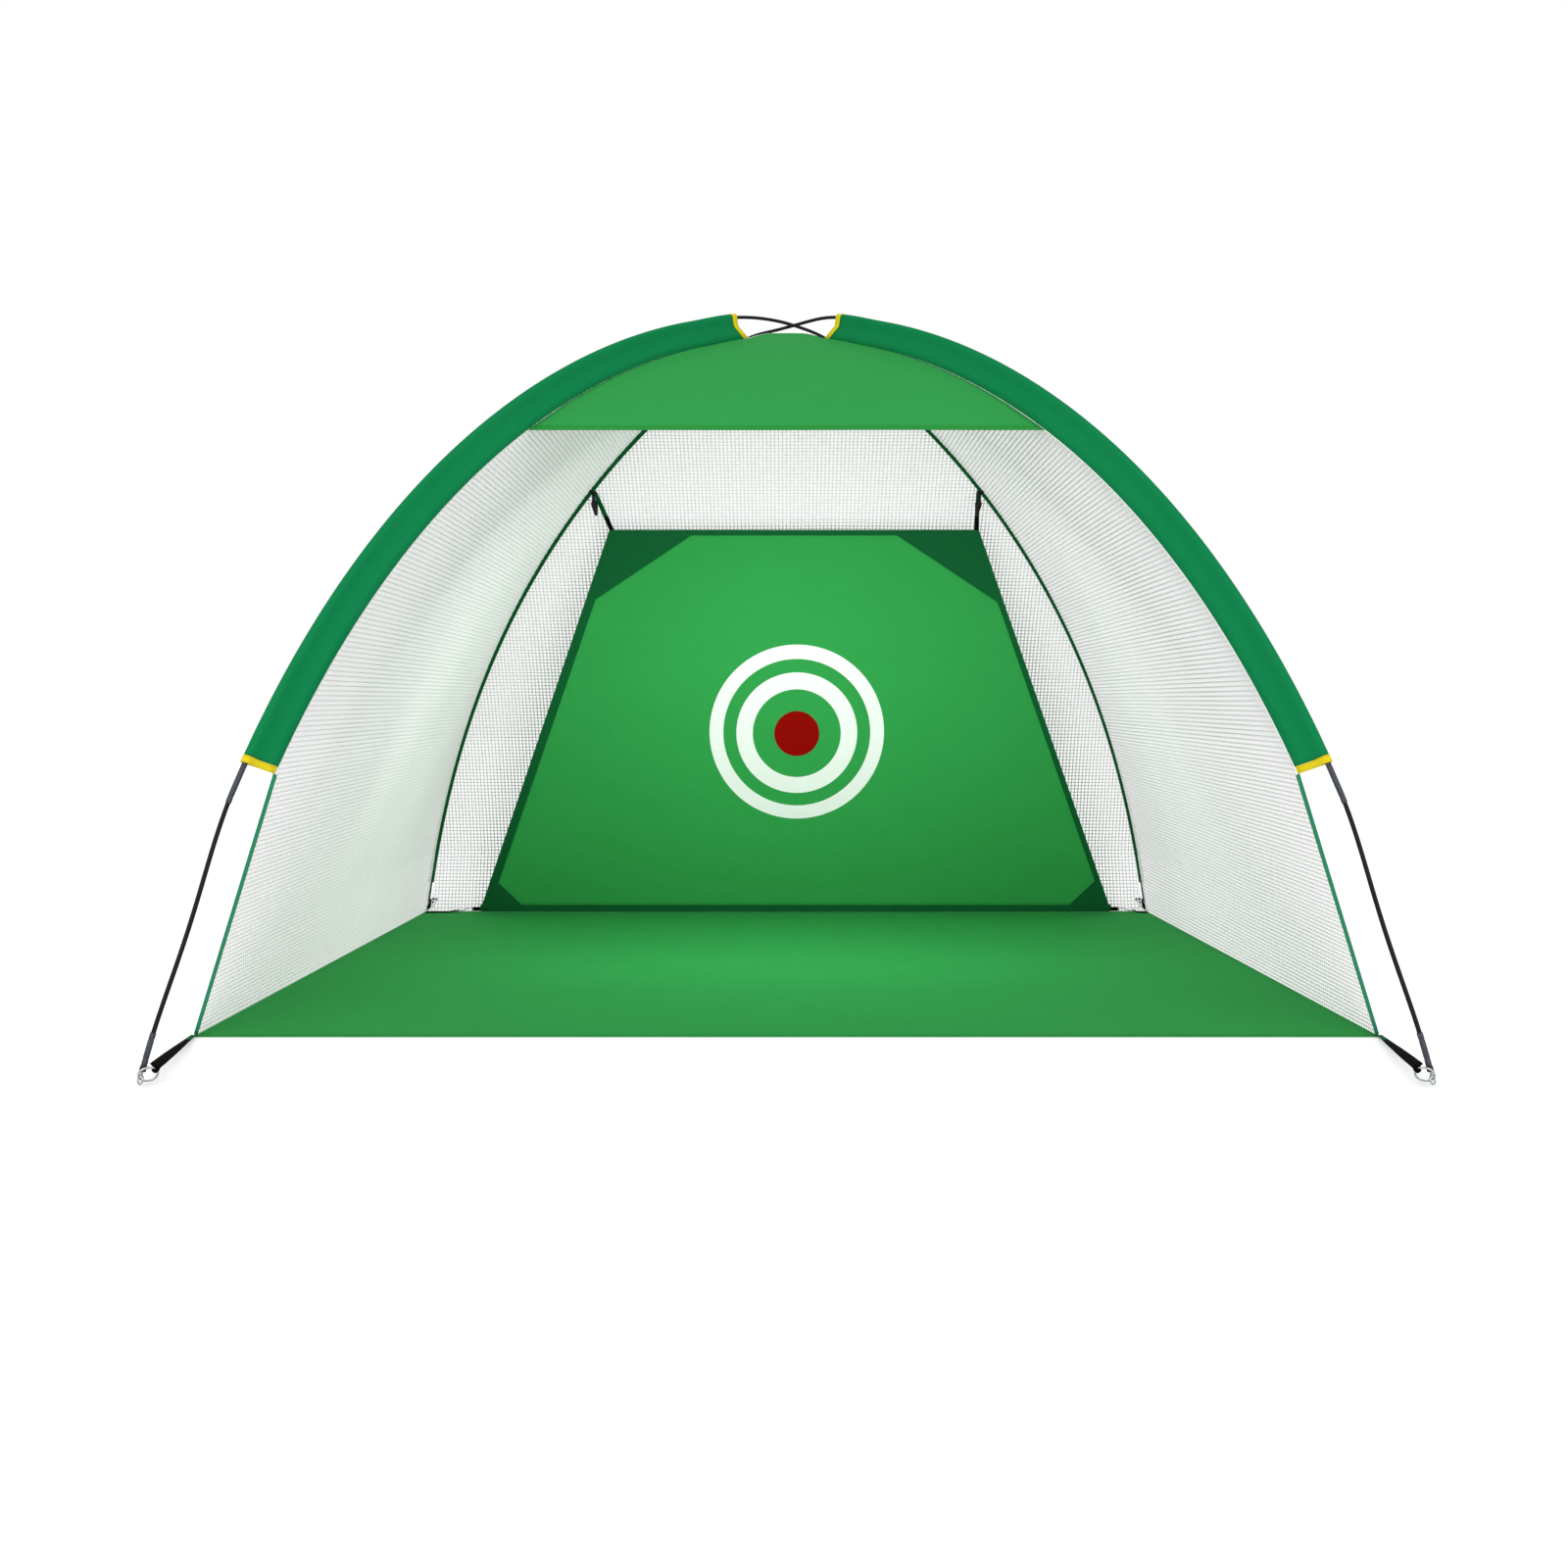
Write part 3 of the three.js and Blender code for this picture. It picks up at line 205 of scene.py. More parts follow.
def cloth_panel(name, rows, thickness, materials, hem_rows=0):
    """A cloth from rows of points, given its thickness to both sides, with its own flat UV.
    Its first hem_rows rows take the second material."""
    count = len(rows[0])
    uv = []
    up = 0.0
    for r, row in enumerate(rows):
        if r:
            up += sum((row[i] - rows[r - 1][i]).length for i in range(count)) / count
        across = -sum((row[i + 1] - row[i]).length for i in range(count - 1)) / 2
        for i, p in enumerate(row):
            across += (p - row[i - 1]).length if i else 0
            uv.append((across, up))
    faces = cells(len(rows), count)
    indices = [int(k < hem_rows * (count - 1)) for k in range(len(faces))]
    points = [p for row in rows for p in row]
    piece = finished(name, points, faces, materials, uv=uv, indices=indices, outward=False)
    thick = piece.modifiers.new("thickness", "SOLIDIFY")
    thick.thickness, thick.offset = thickness, 0
    return piece


def settle(x, y, seed, reach):
    """A smooth ripple between -1 and 1, the same on each run."""
    picker = random.Random(seed)
    value = 0.0
    for _ in range(5):
        angle = picker.uniform(0, math.tau)
        wave = picker.uniform(0.6, 1.5) / reach
        place = x * math.cos(angle) + y * math.sin(angle)
        value += math.sin(math.tau * wave * place + picker.uniform(0, math.tau))
    return value / 5


floor_width, floor_depth, floor_centre_y, floor_thickness = 2.0, 1.4, 0.1125, 0.0015
hem_width, ripple_margin = 0.014, 0.06
# Coated polyester taffeta in a mid green, nearly matt.
light_green = woven("light_green_polyester", "#329A4B", 0.0022)
# The same cloth, folded double at the hem and drawn a shade darker there.
hem_green = woven("light_green_folded_hem", "#2C8E3E", 0.0022)
xs = [-floor_width / 2 + floor_width * i / 120 for i in range(121)]
behind_hem = floor_depth - hem_width
depths = [0, hem_width / 2, hem_width] + [hem_width + behind_hem * i / 70 for i in range(1, 71)]
floor_rows = []
for d in depths:
    row = []
    for x in xs:
        inside = min(1, max(0, min(floor_width / 2 - abs(x), d, floor_depth - d) / ripple_margin))
        lift = 0.00045 * inside * (1 + settle(x, d, 3, 0.9))
        row.append(Vector((x, floor_centre_y - floor_depth / 2 + d, floor_thickness / 2 + lift)))
    floor_rows.append(row)
floor_sheet = cloth_panel("ground_sheet", floor_rows, 0.0012, [light_green, hem_green], hem_rows=2)
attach(floor_sheet, "cage")
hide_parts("floor_sheet")

# ---------------------------------------------------------------- the two bent poles
# Two nine-section fibreglass tubes, bent into arches that cross at the crown. The sections
# plug together in crimped steel ferrules. They look slender, so the drawn tube is a fifth
# thinner than the space kept for it.
LEFT, RIGHT = -1, 1
side_name = {LEFT: "left", RIGHT: "right"}
foot_at = {"front": (0.945, -0.8725), "rear": (1.012, 0.8725)}
bend_at = {"front": (0.200, 1.003, 1.1835), "rear": (0.200, 1.1366, 1.039)}
crown_fullness = {"front": 0.006, "rear": 0.013}
crown_span, crossing_span = 0.26, 0.13
crown_height, crossing_lift = 1.370, 0.0045
eye_bore, eye_wire = 0.0048, 0.0014
eye_height = eye_bore + 2 * eye_wire + 0.001
crossing_y = foot_at["front"][1] + foot_at["front"][0] * (foot_at["rear"][1] - foot_at["front"][1]) / (
    foot_at["front"][0] + foot_at["rear"][0])
pole_radius, ferrule_radius, end_room = 0.00425, 0.00545, 0.020
pole_sections, joint_ferrule, end_ferrule = 9, 0.090, 0.048
slender = 0.8
bare_height, bare_hollow = 0.44, 0.010


def bend(side, end, crossing):
    """Half a pole, from its foot to the crossing: four control points, how full its crown is,
    and how far it lies above or below the mean where the two poles cross."""
    x, y = foot_at[end]
    base = Vector((side * x, y, 0))
    middle = Vector((0, crossing_y, 0))
    outward = (base - middle).normalized()
    crown_run, shoulder_run, shoulder_height = bend_at[end]

    def at(run, z):
        p = middle + outward * run
        return Vector((p.x, p.y, z))
    return [at((base - middle).length, eye_height), at(shoulder_run, shoulder_height),
            at(crown_run, crown_height), at(0, crown_height), crown_fullness[end], crossing]


def on_bend(c, t):
    s = 1 - t
    p = c[0] * s ** 3 + c[1] * 3 * s * s * t + c[2] * 3 * s * t * t + c[3] * t ** 3
    run = math.hypot(p.x, p.y - crossing_y)
    if run < crown_span:
        p.z += c[4] * math.sin(math.pi * run / crown_span) ** 2
    if run < crossing_span:
        p.z += c[5] * (1 - (run / crossing_span) ** 2) ** 2
    return p


def bend_direction(c, t):
    return (on_bend(c, min(1, t + 0.002)) - on_bend(c, max(0, t - 0.002))).normalized()


def lift_of(front_side):
    return crossing_lift if front_side == LEFT else -crossing_lift


half = {}
for side in (LEFT, RIGHT):
    half["front", side] = bend(side, "front", lift_of(side))
    half["rear", side] = bend(side, "rear", lift_of(-side))
mean = {end: bend(LEFT, end, 0) for end in ("front", "rear")}
fine = 1600
reach = {}
for end in mean:
    points = [on_bend(mean[end], i / fine) for i in range(fine + 1)]
    total = [0.0]
    for a, b in zip(points, points[1:]):
        total.append(total[-1] + (b - a).length)
    reach[end] = total
pole_length = reach["front"][-1] + reach["rear"][-1]
section_length = (pole_length - 2 * end_room) / pole_sections


def share_at(end, arc):
    """The curve's parameter at a distance up the pole from its foot."""
    total = reach[end]
    low, high = 0, fine
    while high - low > 1:
        middle = (low + high) // 2
        low, high = (middle, high) if total[middle] <= arc else (low, middle)
    return (low + (arc - total[low]) / (total[high] - total[low])) / fine


def share_at_height(end, z):
    low, high = 0.0, 1.0
    for _ in range(40):
        middle = (low + high) / 2
        low, high = (middle, high) if on_bend(mean[end], middle).z < z else (low, middle)
    return (low + high) / 2


def on_pole(front_side, arc):
    """Place, direction and sideways direction on a whole pole. Its bare stretch in front
    bends in a little."""
    if arc <= reach["front"][-1]:
        curve, t, way = half["front", front_side], share_at("front", arc), 1
    else:
        curve, t, way = half["rear", -front_side], share_at("rear", max(pole_length - arc, 0)), -1
    out = (curve[0] - curve[3])
    lateral = Vector((-out.y, out.x, 0)).normalized() * way
    p = on_bend(curve, t)
    if way > 0 and p.z < bare_height:
        climbed = max(0, p.z - eye_height) / (bare_height - eye_height)
        p.x -= front_side * bare_hollow * math.sin(math.pi * climbed) ** 2
    return p, bend_direction(curve, t) * way, lateral


def tube(frames, sides, closed=False):
    """Points and faces of a round tube. frames hold (place, a, b, radius)."""
    verts, faces = [], []
    for p, a, b, radius in frames:
        for k in range(sides):
            angle = math.tau * k / sides
            verts.append(p + a * (radius * math.cos(angle)) + b * (radius * math.sin(angle)))
    rings = len(frames)
    for r in range(rings if closed else rings - 1):
        for k in range(sides):
            a, b = r * sides, ((r + 1) % rings) * sides
            faces.append((a + k, a + (k + 1) % sides, b + (k + 1) % sides, b + k))
    if not closed:
        faces += [tuple(reversed(range(sides))), tuple((rings - 1) * sides + k for k in range(sides))]
    return verts, faces


def joined(parts):
    """Several (verts, faces, material index) parts as one."""
    verts, faces, indices = [], [], []
    for v, f, index in parts:
        faces += [tuple(len(verts) + i for i in face) for face in f]
        indices += [index] * len(f)
        verts += v
    return verts, faces, indices


def hard(name, colour, rough, scale, spread, metallic=0.0, gloss=0.5):
    """A hard finish whose gloss and tone vary a little, as on drawn, plated or moulded parts."""
    material, tree = blank_material(name)
    coords = put(tree, "ShaderNodeTexCoord").outputs["Object"]
    grain = put(tree, "ShaderNodeTexNoise", {
        "Vector": coords, "Scale": scale, "Detail": 5.0, "Roughness": 0.6}).outputs[0]
    darker, lighter = varied(linear(colour), 1 - spread), varied(linear(colour), 1 + spread)
    tone = put(tree, "ShaderNodeMix", {"Factor": grain, 6: darker, 7: lighter}, data_type="RGBA")
    worn = put(tree, "ShaderNodeMapRange", {
        "Value": grain, "To Min": max(0.05, rough - 0.1), "To Max": rough + 0.12})
    bump = put(tree, "ShaderNodeBump", {"Strength": 0.5, "Distance": 0.0002, "Height": grain})
    shader = put(tree, "ShaderNodeBsdfPrincipled", {
        "Base Color": tone.outputs[2], "Roughness": worn.outputs[0], "Normal": bump.outputs[0],
        "Specular IOR Level": gloss, "Metallic": metallic})
    put(tree, "ShaderNodeOutputMaterial", {"Surface": shader.outputs[0]})
    return material


# Pultruded fibreglass in black resin, satin, with its glass strands just showing.
fibreglass = hard("black_pultruded_fibreglass", "#08080A", 0.5, scale=240, spread=0.35, gloss=0.2)
# Dark zinc-plated steel tube, crimped on: a slate grey beside the black rod.
ferrule_steel = hard("dark_zinc_plated_ferrule", "#3C4148", 0.45, metallic=0.5, scale=180, spread=0.15)
for side in (LEFT, RIGHT):
    rod_arcs = [end_room + (pole_length - 2 * end_room) * i / 260 for i in range(261)]
    parts = []

    def frames_at(arcs_and_radii):
        out = []
        for arc, radius in arcs_and_radii:
            p, way, lateral = on_pole(side, arc)
            up = lateral.cross(way).normalized()
            out.append((p, up, lateral, radius * slender))
        return out
    v, f = tube(frames_at([(a, pole_radius) for a in rod_arcs]), 16)
    parts.append((v, f, 0))
    spans = [(end_room, end_room + end_ferrule)]
    for j in range(1, pole_sections):
        joint = end_room + j * section_length
        spans.append((joint - joint_ferrule / 2, joint + joint_ferrule / 2))
    spans.append((pole_length - end_room - end_ferrule, pole_length - end_room))
    rim, pressed = 0.0008, ferrule_radius - 0.0004
    for low, high in spans:
        profile = [(low, pole_radius), (low, pressed), (low + rim, ferrule_radius)]
        for crimp in (low + 0.008, high - 0.012):
            profile += [(crimp, ferrule_radius), (crimp + 0.001, pressed), (crimp + 0.003, pressed),
                        (crimp + 0.004, ferrule_radius)]
        profile += [(high - rim, ferrule_radius), (high, pressed), (high, pole_radius)]
        v, f = tube(frames_at(profile), 16)
        parts.append((v, f, 1))
    v, f, indices = joined(parts)
    pole = finished(f"{side_name[side]}_bent_pole", v, f, [fibreglass, ferrule_steel], indices=indices)
    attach(pole, "cage")
    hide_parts(*[f"{side_name[side]}_pole_section_{i}" for i in range(1, pole_sections + 1)])

# ---------------------------------------------------------------- corner pins, rings and webbing
# Each pole foot has a steel pin with an eye. A welded ring hangs in the eye, and folded
# webbing sewn round the ring runs to the floor sheet's corner and holds the pole bent.

# Bright zinc-plated steel wire, which mirrors the room softly.
zinc = hard("bright_zinc_plated_wire", "#B9BDC1", 0.28, metallic=1.0, scale=300, spread=0.08)
# Moulded black collar that seats the pole's end.
collar_black = hard("moulded_black_collar", "#0B0B0C", 0.5, scale=200, spread=0.2)


def torus(centre, x, y, radius, wire, segments=48):
    """A ring of wire in the plane of x and y."""
    z = x.cross(y).normalized()
    frames = []
    for i in range(segments):
        angle = math.tau * i / segments
        out = x * math.cos(angle) + y * math.sin(angle)
        frames.append((centre + out * radius, out, z, wire))
    return tube(frames, 12, closed=True)


def lathe(base, axis, profile):
    """A turned shape. profile holds (height, radius) along the axis."""
    a = axis.orthogonal().normalized()
    b = axis.cross(a)
    return tube([(base + axis * h, a, b, r) for h, r in profile], 20)


def ribbed(name, colour, pitch, valley_shade=0.75, ridge_light=1.15):
    """Narrow woven webbing: ribs across its length, which is the UV's second direction.
    Painted shade darkens the hollows between the ribs and painted light brightens their crests.
    """
    material, tree = blank_material(name)
    rib = ribs(tree, pitch * 0.8, pitch)
    # Painted shade and light: the colour goes darker in the rib hollows and lighter on the rib crests.
    darker, lighter = varied(linear(colour), valley_shade), varied(linear(colour), ridge_light)
    tone = put(tree, "ShaderNodeMix", {"Factor": rib, 6: darker, 7: lighter}, data_type="RGBA")
    bump = put(tree, "ShaderNodeBump", {"Strength": 0.5, "Distance": 0.0003, "Height": rib})
    shader = put(tree, "ShaderNodeBsdfPrincipled", {
        "Base Color": tone.outputs[2], "Roughness": 0.85, "Normal": bump.outputs[0],
        "Specular IOR Level": 0.03})
    put(tree, "ShaderNodeOutputMaterial", {"Surface": shader.outputs[0]})
    return material


# Woven black webbing, matt, with plain ribs across it; painted shade darkens their hollows and painted light
# brightens their crests.
black_webbing = ribbed("black_polypropylene_webbing", "#0A0A0A", 0.0016)


def strap(name, rows, materials, second_from=None, rounding=0.0006):
    """A flat band with rounded edges. rows hold (place, across, out, width, thickness). From
    the row second_from on it takes the second material."""
    verts, uv = [], []
    ring = 10
    along = 0.0
    for r, (p, wide, thick, width, thickness) in enumerate(rows):
        along += (p - rows[r - 1][0]).length if r else 0
        w, h = width / 2, thickness / 2
        e = min(rounding, h * 0.9)
        under = [(-w + e, -h), (0, -h), (w - e, -h), (w, -h + e)]
        for a, b in under + [(w, h - e), (w - e, h), (0, h), (-w + e, h), (-w, h - e), (-w, -h + e)]:
            verts.append(p + wide * a + thick * b)
            uv.append((a, along))
    faces, indices = [], []
    for r in range(len(rows) - 1):
        a, b = r * ring, (r + 1) * ring
        faces += [(a + k, a + (k + 1) % ring, b + (k + 1) % ring, b + k) for k in range(ring)]
        indices += [int(second_from is not None and r >= second_from)] * ring
    faces += [tuple(reversed(range(ring))), tuple((len(rows) - 1) * ring + k for k in range(ring))]
    return finished(name, verts, faces, materials, uv=uv, indices=indices + [indices[0], indices[-1]])


def webbing_eye(name, heart, pull, up, across, radius, width, thickness, rounding=0.0006):
    """Webbing bent round a wire, open towards the pull, where both its legs are sewn."""
    rows = []
    for i in range(13):
        angle = math.radians(35 + 290 * i / 12)
        out = pull * math.cos(angle) + up * math.sin(angle)
        rows.append((heart + out * radius, across, out, width, thickness))
    return strap(name, rows, [black_webbing], rounding=rounding)


floor_corner = {
    (end, s): Vector((s * floor_width / 2, floor_centre_y + back * floor_depth / 2, 0))
    for end, back in (("front", -1), ("rear", 1)) for s in (LEFT, RIGHT)}
ring_heading, ring_rise, ring_lean = math.radians(27), math.radians(40), math.radians(30)
ring_radius, ring_wire, ring_ease, near = 0.0128, 0.0016, 0.001, 0.00035
loop_width, loop_bore, loop_wall, loop_ease, web_thickness = 0.007, 0.0034, 0.0016, 0.0005, 0.0024
web_width, web_foot_width = 0.018, 0.008
stem_radius, collar_length, collar_radius, collar_edge = 0.0018, 0.008, 0.0048, 0.0004
# Deep green polyester, plain woven and matt.
rear_green = woven("rear_green_polyester", "#0B5528", 0.0018)
# Green reinforcing cloth over the webbing's end at the corner.
corner_green = woven("corner_reinforcement_green", "#14603A", 0.0018)
for end, back in (("front", 1), ("rear", -1)):
    for side in (LEFT, RIGHT):
        place = f"{end}_{side_name[side]}"
        curve = half[end, side]
        # The pin's axis is that of the pole's first stretch, as in the solids.
        start = on_bend(curve, share_at(end, end_room))
        beyond = on_bend(curve, share_at(end, end_room + end_ferrule))
        axis = (beyond - start).normalized()
        eye = start - axis * end_room
        heading = Vector((-side * math.cos(ring_heading), back * math.sin(ring_heading), 0))
        outward = Vector((-heading.y, heading.x, 0)) * (side * back)
        upright = outward * math.sin(ring_lean) + Vector((0, 0, math.cos(ring_lean)))
        rise = heading * math.cos(ring_rise) + upright * math.sin(ring_rise)
        across = upright * math.cos(ring_rise) - heading * math.sin(ring_rise)
        lean = (across - axis * across.dot(axis)).normalized()
        level = (rise - lean * rise.dot(lean)).normalized()
        centre = eye + level * ring_ease + rise * ring_radius
        v, f = torus(eye, axis, lean.cross(axis), eye_bore + eye_wire, eye_wire)
        top = end_room - near
        rod_places = (eye_bore + eye_wire, top - collar_length, end_room + 0.04)
        rod = lathe(eye, axis, [(h, stem_radius) for h in rod_places])
        low, rim = top - collar_length, collar_radius - collar_edge
        collar = lathe(eye, axis, [(low, stem_radius), (low, rim), (low + collar_edge, collar_radius),
                                   (top - collar_edge, collar_radius), (top, rim), (top, stem_radius)])
        verts, faces, indices = joined([(v, f, 0), (*rod, 0), (*collar, 1)])
        pin = finished(f"eye_pin_{place}", verts, faces, [zinc, collar_black], indices=indices)
        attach(pin, "cage")
        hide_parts(f"corner_pin_{place}")
        v, f = torus(centre, rise, across, ring_radius, ring_wire, segments=64)
        ring = finished(f"steel_ring_{place}", v, f, [zinc])
        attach(ring, f"ring_{place}")
        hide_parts(f"corner_ring_{place}")
        # The webbing: once round the ring, both legs sewn together, then out to the corner.
        away_reach = ring_radius + (loop_bore - ring_wire - near) * 0.3
        heart = centre + rise * away_reach
        corner = floor_corner[end, side]
        away = heart - corner
        away.z = 0
        last = corner + away.normalized() * near
        last.z = floor_thickness + web_thickness / 2
        pull = last - heart
        pull = (pull - across * pull.dot(across)).normalized()
        up = across.cross(pull).normalized()
        loop = webbing_eye(f"webbing_loop_{place}", heart, pull, up, across,
                           loop_bore + loop_wall / 2 + loop_ease, loop_width * 0.85, loop_wall)
        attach(loop, "cage")
        flat_across = Vector((math.copysign(1, across.x), 0, 0))
        flat_up = Vector((0, 0, math.copysign(1, up.z)))
        begin = heart + pull * (loop_bore + loop_wall + loop_ease)
        root = begin + pull * web_thickness
        rows = [(begin - pull * web_thickness / 2, across, up, loop_width, web_thickness),
                (root, across, up, web_width, web_thickness)]
        for i in range(1, 13):
            share = i / 12
            rows.append((root.lerp(last, share), across.lerp(flat_across, share).normalized(),
                         up.lerp(flat_up, share).normalized(),
                         web_width + (web_foot_width - web_width) * share, web_thickness))
        web = strap(f"corner_tie_{place}", rows, [black_webbing, corner_green], second_from=11)
        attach(web, "cage")
        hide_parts(f"corner_webbing_{place}")

# ---------------------------------------------------------------- front pole sleeves
# A strip of heavier polyester folded over each pole and sewn to the cage along its hem.
# A yellow tape binds each end, where the pole slides in.
sleeve_start, sleeve_end, sleeve_wall, binding_width, binding_proud = 0.484, 1.849, 0.001, 0.012, 0.0006
hem_low, hem_top = Vector((0.038, 0.022, -0.018)), Vector((0.028, 0.004, -0.042))
low_share, end_share = share_at("front", sleeve_start), share_at("front", sleeve_end)
pocket_radius, pocket_arc, pocket_taper = 0.0074, math.radians(200), 0.020
web_half, slot_half, hem_wall, hem_room = 0.0008, 0.0003, 0.0006, 0.0005
# Heavier polyester in a bluer green, matt.
sleeve_green = woven("dark_green_sleeve_polyester", "#107E49", 0.0020)
# Narrow woven binding tape in yellow, with slight ribs; painted shade darkens their hollows and painted light
# brightens their crests.
yellow_tape = ribbed("yellow_binding_tape", "#E3CE24", 0.0014, 0.92, 1.08)


def part_way(value):
    return min(1, max(0, value))


def hem_offset(side, t):
    """From the pole out to the hem seam, which reaches furthest half way up."""
    up = (t - low_share) / (end_share - low_share)
    hem = hem_low.lerp(hem_top, up) * (1 + 0.1 * math.sin(math.pi * part_way(up)))
    return Vector((-side * hem.x, hem.y, hem.z))


def sleeve_outline(side, arc, proud, ripple):
    """Two closed outlines, the sleeve's outside and inside, at one place up the pole."""
    t = share_at("front", arc)
    curve = half["front", side]
    pole, along = on_bend(curve, t), bend_direction(curve, t)
    hem = hem_offset(side, t)
    skew = hem.dot(along)
    to_hem = hem - along * skew
    span = to_hem.length - hem_room - proud
    d = to_hem.normalized()
    m = along.cross(d)
    shift = pocket_radius - ferrule_radius - near
    steps = 14

    def outline(radius, web, hem_reach):
        flat = []
        for i in range(steps + 1):
            angle = math.pi + pocket_arc * (i / steps - 0.5)
            flat.append((shift + radius * math.cos(angle), -radius * math.sin(angle)))
        reaches = [pocket_taper + (hem_reach - pocket_taper) * share for share in (0.5, 1)]
        for share in (0.5, 1):
            x0, y0 = flat[steps]
            flat.append((x0 + (pocket_taper - x0) * share, y0 + (web - y0) * share ** 0.8))
        flat += [(x, web) for x in reaches] + [(x, -web) for x in reversed(reaches)]
        for share in (1, 0.5):
            x0, y0 = flat[0]
            flat.append((x0 + (pocket_taper - x0) * share, y0 - (web + y0) * share ** 0.8))
        out = []
        for x, y in flat:
            free = part_way(x / pocket_taper) * part_way((hem_reach - x) / 0.012)
            slant = skew * part_way((x - pocket_taper) / (span - pocket_taper))
            out.append(pole + d * x + m * (y + ripple * free) + along * slant)
        return out
    bore = pocket_radius + proud
    outside = outline(bore + sleeve_wall, web_half + proud, span)
    return outside, outline(bore, slot_half, span - hem_wall)


def end_rims(size, shift, last):
    """Faces that join a pipe's outside to its inside, shift points on, at its two ends."""
    faces = []
    for k in range(size):
        n = (k + 1) % size
        faces += [(k, shift + k, shift + n, n), (last + n, last + shift + n, last + shift + k, last + k)]
    return faces


def sleeve(name, side, start, end, proud, material, sway):
    """A stretch of sleeve. proud is how far it stands out all round, sway how far its free
    cloth ripples."""
    count = max(2, round((end - start) / 0.009))
    verts, uv, faces = [], [], []
    for i in range(count + 1):
        arc = start + (end - start) * i / count
        outlines = sleeve_outline(side, arc, proud, sway * settle(arc, side, 11 + side, 0.16))
        size = len(outlines[0])
        round_it = 0.0
        for ring in outlines:
            for k, p in enumerate(ring):
                round_it += (p - ring[k - 1]).length if k else 0
                verts.append(p)
                uv.append((round_it, arc))
        a, b = i * 2 * size, (i + 1) * 2 * size
        for k in range(size if i < count else 0):
            n = (k + 1) % size
            faces.append((a + k, a + n, b + n, b + k))
            faces.append((a + size + n, a + size + k, b + size + k, b + size + n))
    faces += end_rims(size, size, count * 2 * size)
    return finished(name, verts, faces, [material], uv=uv, outward=False)


for side in (LEFT, RIGHT):
    name = side_name[side]
    low, top = sleeve_start + binding_width, sleeve_end - binding_width
    piece = sleeve(f"front_pole_sleeve_{name}", side, low + near, top - near, 0, sleeve_green, 0.0011)
    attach(piece, "cage")
    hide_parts(f"front_sleeve_{name}")
    for place, start, end in (("low", sleeve_start, low), ("top", top, sleeve_end)):
        tape = sleeve(f"yellow_binding_{place}_{name}", side, start, end, binding_proud, yellow_tape, 0)
        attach(tape, "cage")
        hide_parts(f"sleeve_binding_{place}_{name}")

# ---------------------------------------------------------------- rear pole sleeves
# Close tubes of dark green polyester on the rear halves, sewn into the seam where the side
# and rear netting meet. They pucker a little along their stitching.
rear_bore, rear_wall, rear_start, rear_end = 0.0067, 0.001, 0.070, 1.885
sides, count = 18, 300
for side in (LEFT, RIGHT):
    name = side_name[side]
    outer, inner, uv = [], [], []
    for i in range(count + 1):
        arc = rear_start + (rear_end - rear_start) * i / count
        t = share_at("rear", arc)
        curve = half["rear", side]
        p, way = on_bend(curve, t), bend_direction(curve, t)
        out = curve[0] - curve[3]
        lateral = Vector((-out.y, out.x, 0)).normalized()
        up = lateral.cross(way).normalized()
        pucker = 0.00035 * math.sin(math.tau * arc / 0.021) * (0.5 + 0.5 * settle(arc, side, 5, 0.3))
        outer.append((p, up, lateral, rear_bore + rear_wall + pucker))
        inner.append((p, up, lateral, rear_bore))
        uv += [(k * 0.0025, arc) for k in range(sides)]
    outer_v, outer_f = tube(outer, sides)
    inner_v, inner_f = tube(inner, sides)
    inner_f = [tuple(reversed(f)) for f in inner_f[:-2]]
    verts, faces, _ = joined([(outer_v, outer_f[:-2], 0), (inner_v, inner_f, 0)])
    faces += end_rims(sides, len(outer_v), count * sides)
    uv += uv
    piece = finished(f"rear_pole_sleeve_{name}", verts, faces, [rear_green], uv=uv, outward=False)
    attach(piece, "cage")
    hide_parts(f"rear_sleeve_{name}")

# ---------------------------------------------------------------- netting
# Fine knitted polyester netting closes both sides and the back, sewn to the sleeves and to
# the floor sheet. Its square mesh is drawn at 9 mm, coarser than the real one, so it shows.
cloth_base = floor_thickness + near + 0.0005
inset = 0.003
crown_cloth = crown_height - crossing_lift - pole_radius - 0.014
hood_hem_height = 1.052
low_height = on_bend(mean["front"], low_share).z


def arched(p, crown, share):
    """On to the crown, levelling out as it nears it."""
    q = p.lerp(crown, share)
    q.z = p.z + (crown.z - p.z) * math.sin(math.pi * share / 2)
    return q


def front_seam(side, s):
    """Where a side's cloth meets the front: s runs 0 to 1 up to the sleeve, 1 to 2 along it,
    and 2 to 3 on to the crown."""
    corner = Vector((side * (floor_width / 2 - inset), floor_centre_y - floor_depth / 2 + inset, cloth_base))
    if s < 1:
        low = on_bend(half["front", side], low_share) + hem_offset(side, low_share)
        return corner.lerp(low, s)
    t = low_share + (end_share - low_share) * min(s - 1, 1)
    p = on_bend(half["front", side], t) + hem_offset(side, t)
    crown = Vector((side * 0.004, crossing_y - 0.004, crown_cloth))
    return p if s <= 2 else arched(p, crown, s - 2)


def rear_seam(side, s):
    corner = Vector((side * (floor_width / 2 - inset), floor_centre_y + floor_depth / 2 - inset, cloth_base))
    if s <= 0:
        return corner
    if s < 1:
        z = eye_height + s * (low_height - eye_height)
    else:
        z = on_bend(mean["front"], low_share + (end_share - low_share) * min(s - 1, 1)).z
    p = on_bend(half["rear", side], share_at_height("rear", z))
    if s < 0.34:
        first = eye_height + 0.34 * (low_height - eye_height)
        p = corner.lerp(on_bend(half["rear", side], share_at_height("rear", first)), s / 0.34)
    crown = Vector((side * 0.004, crossing_y + 0.004, crown_cloth))
    return p if s <= 2 else arched(p, crown, s - 2)


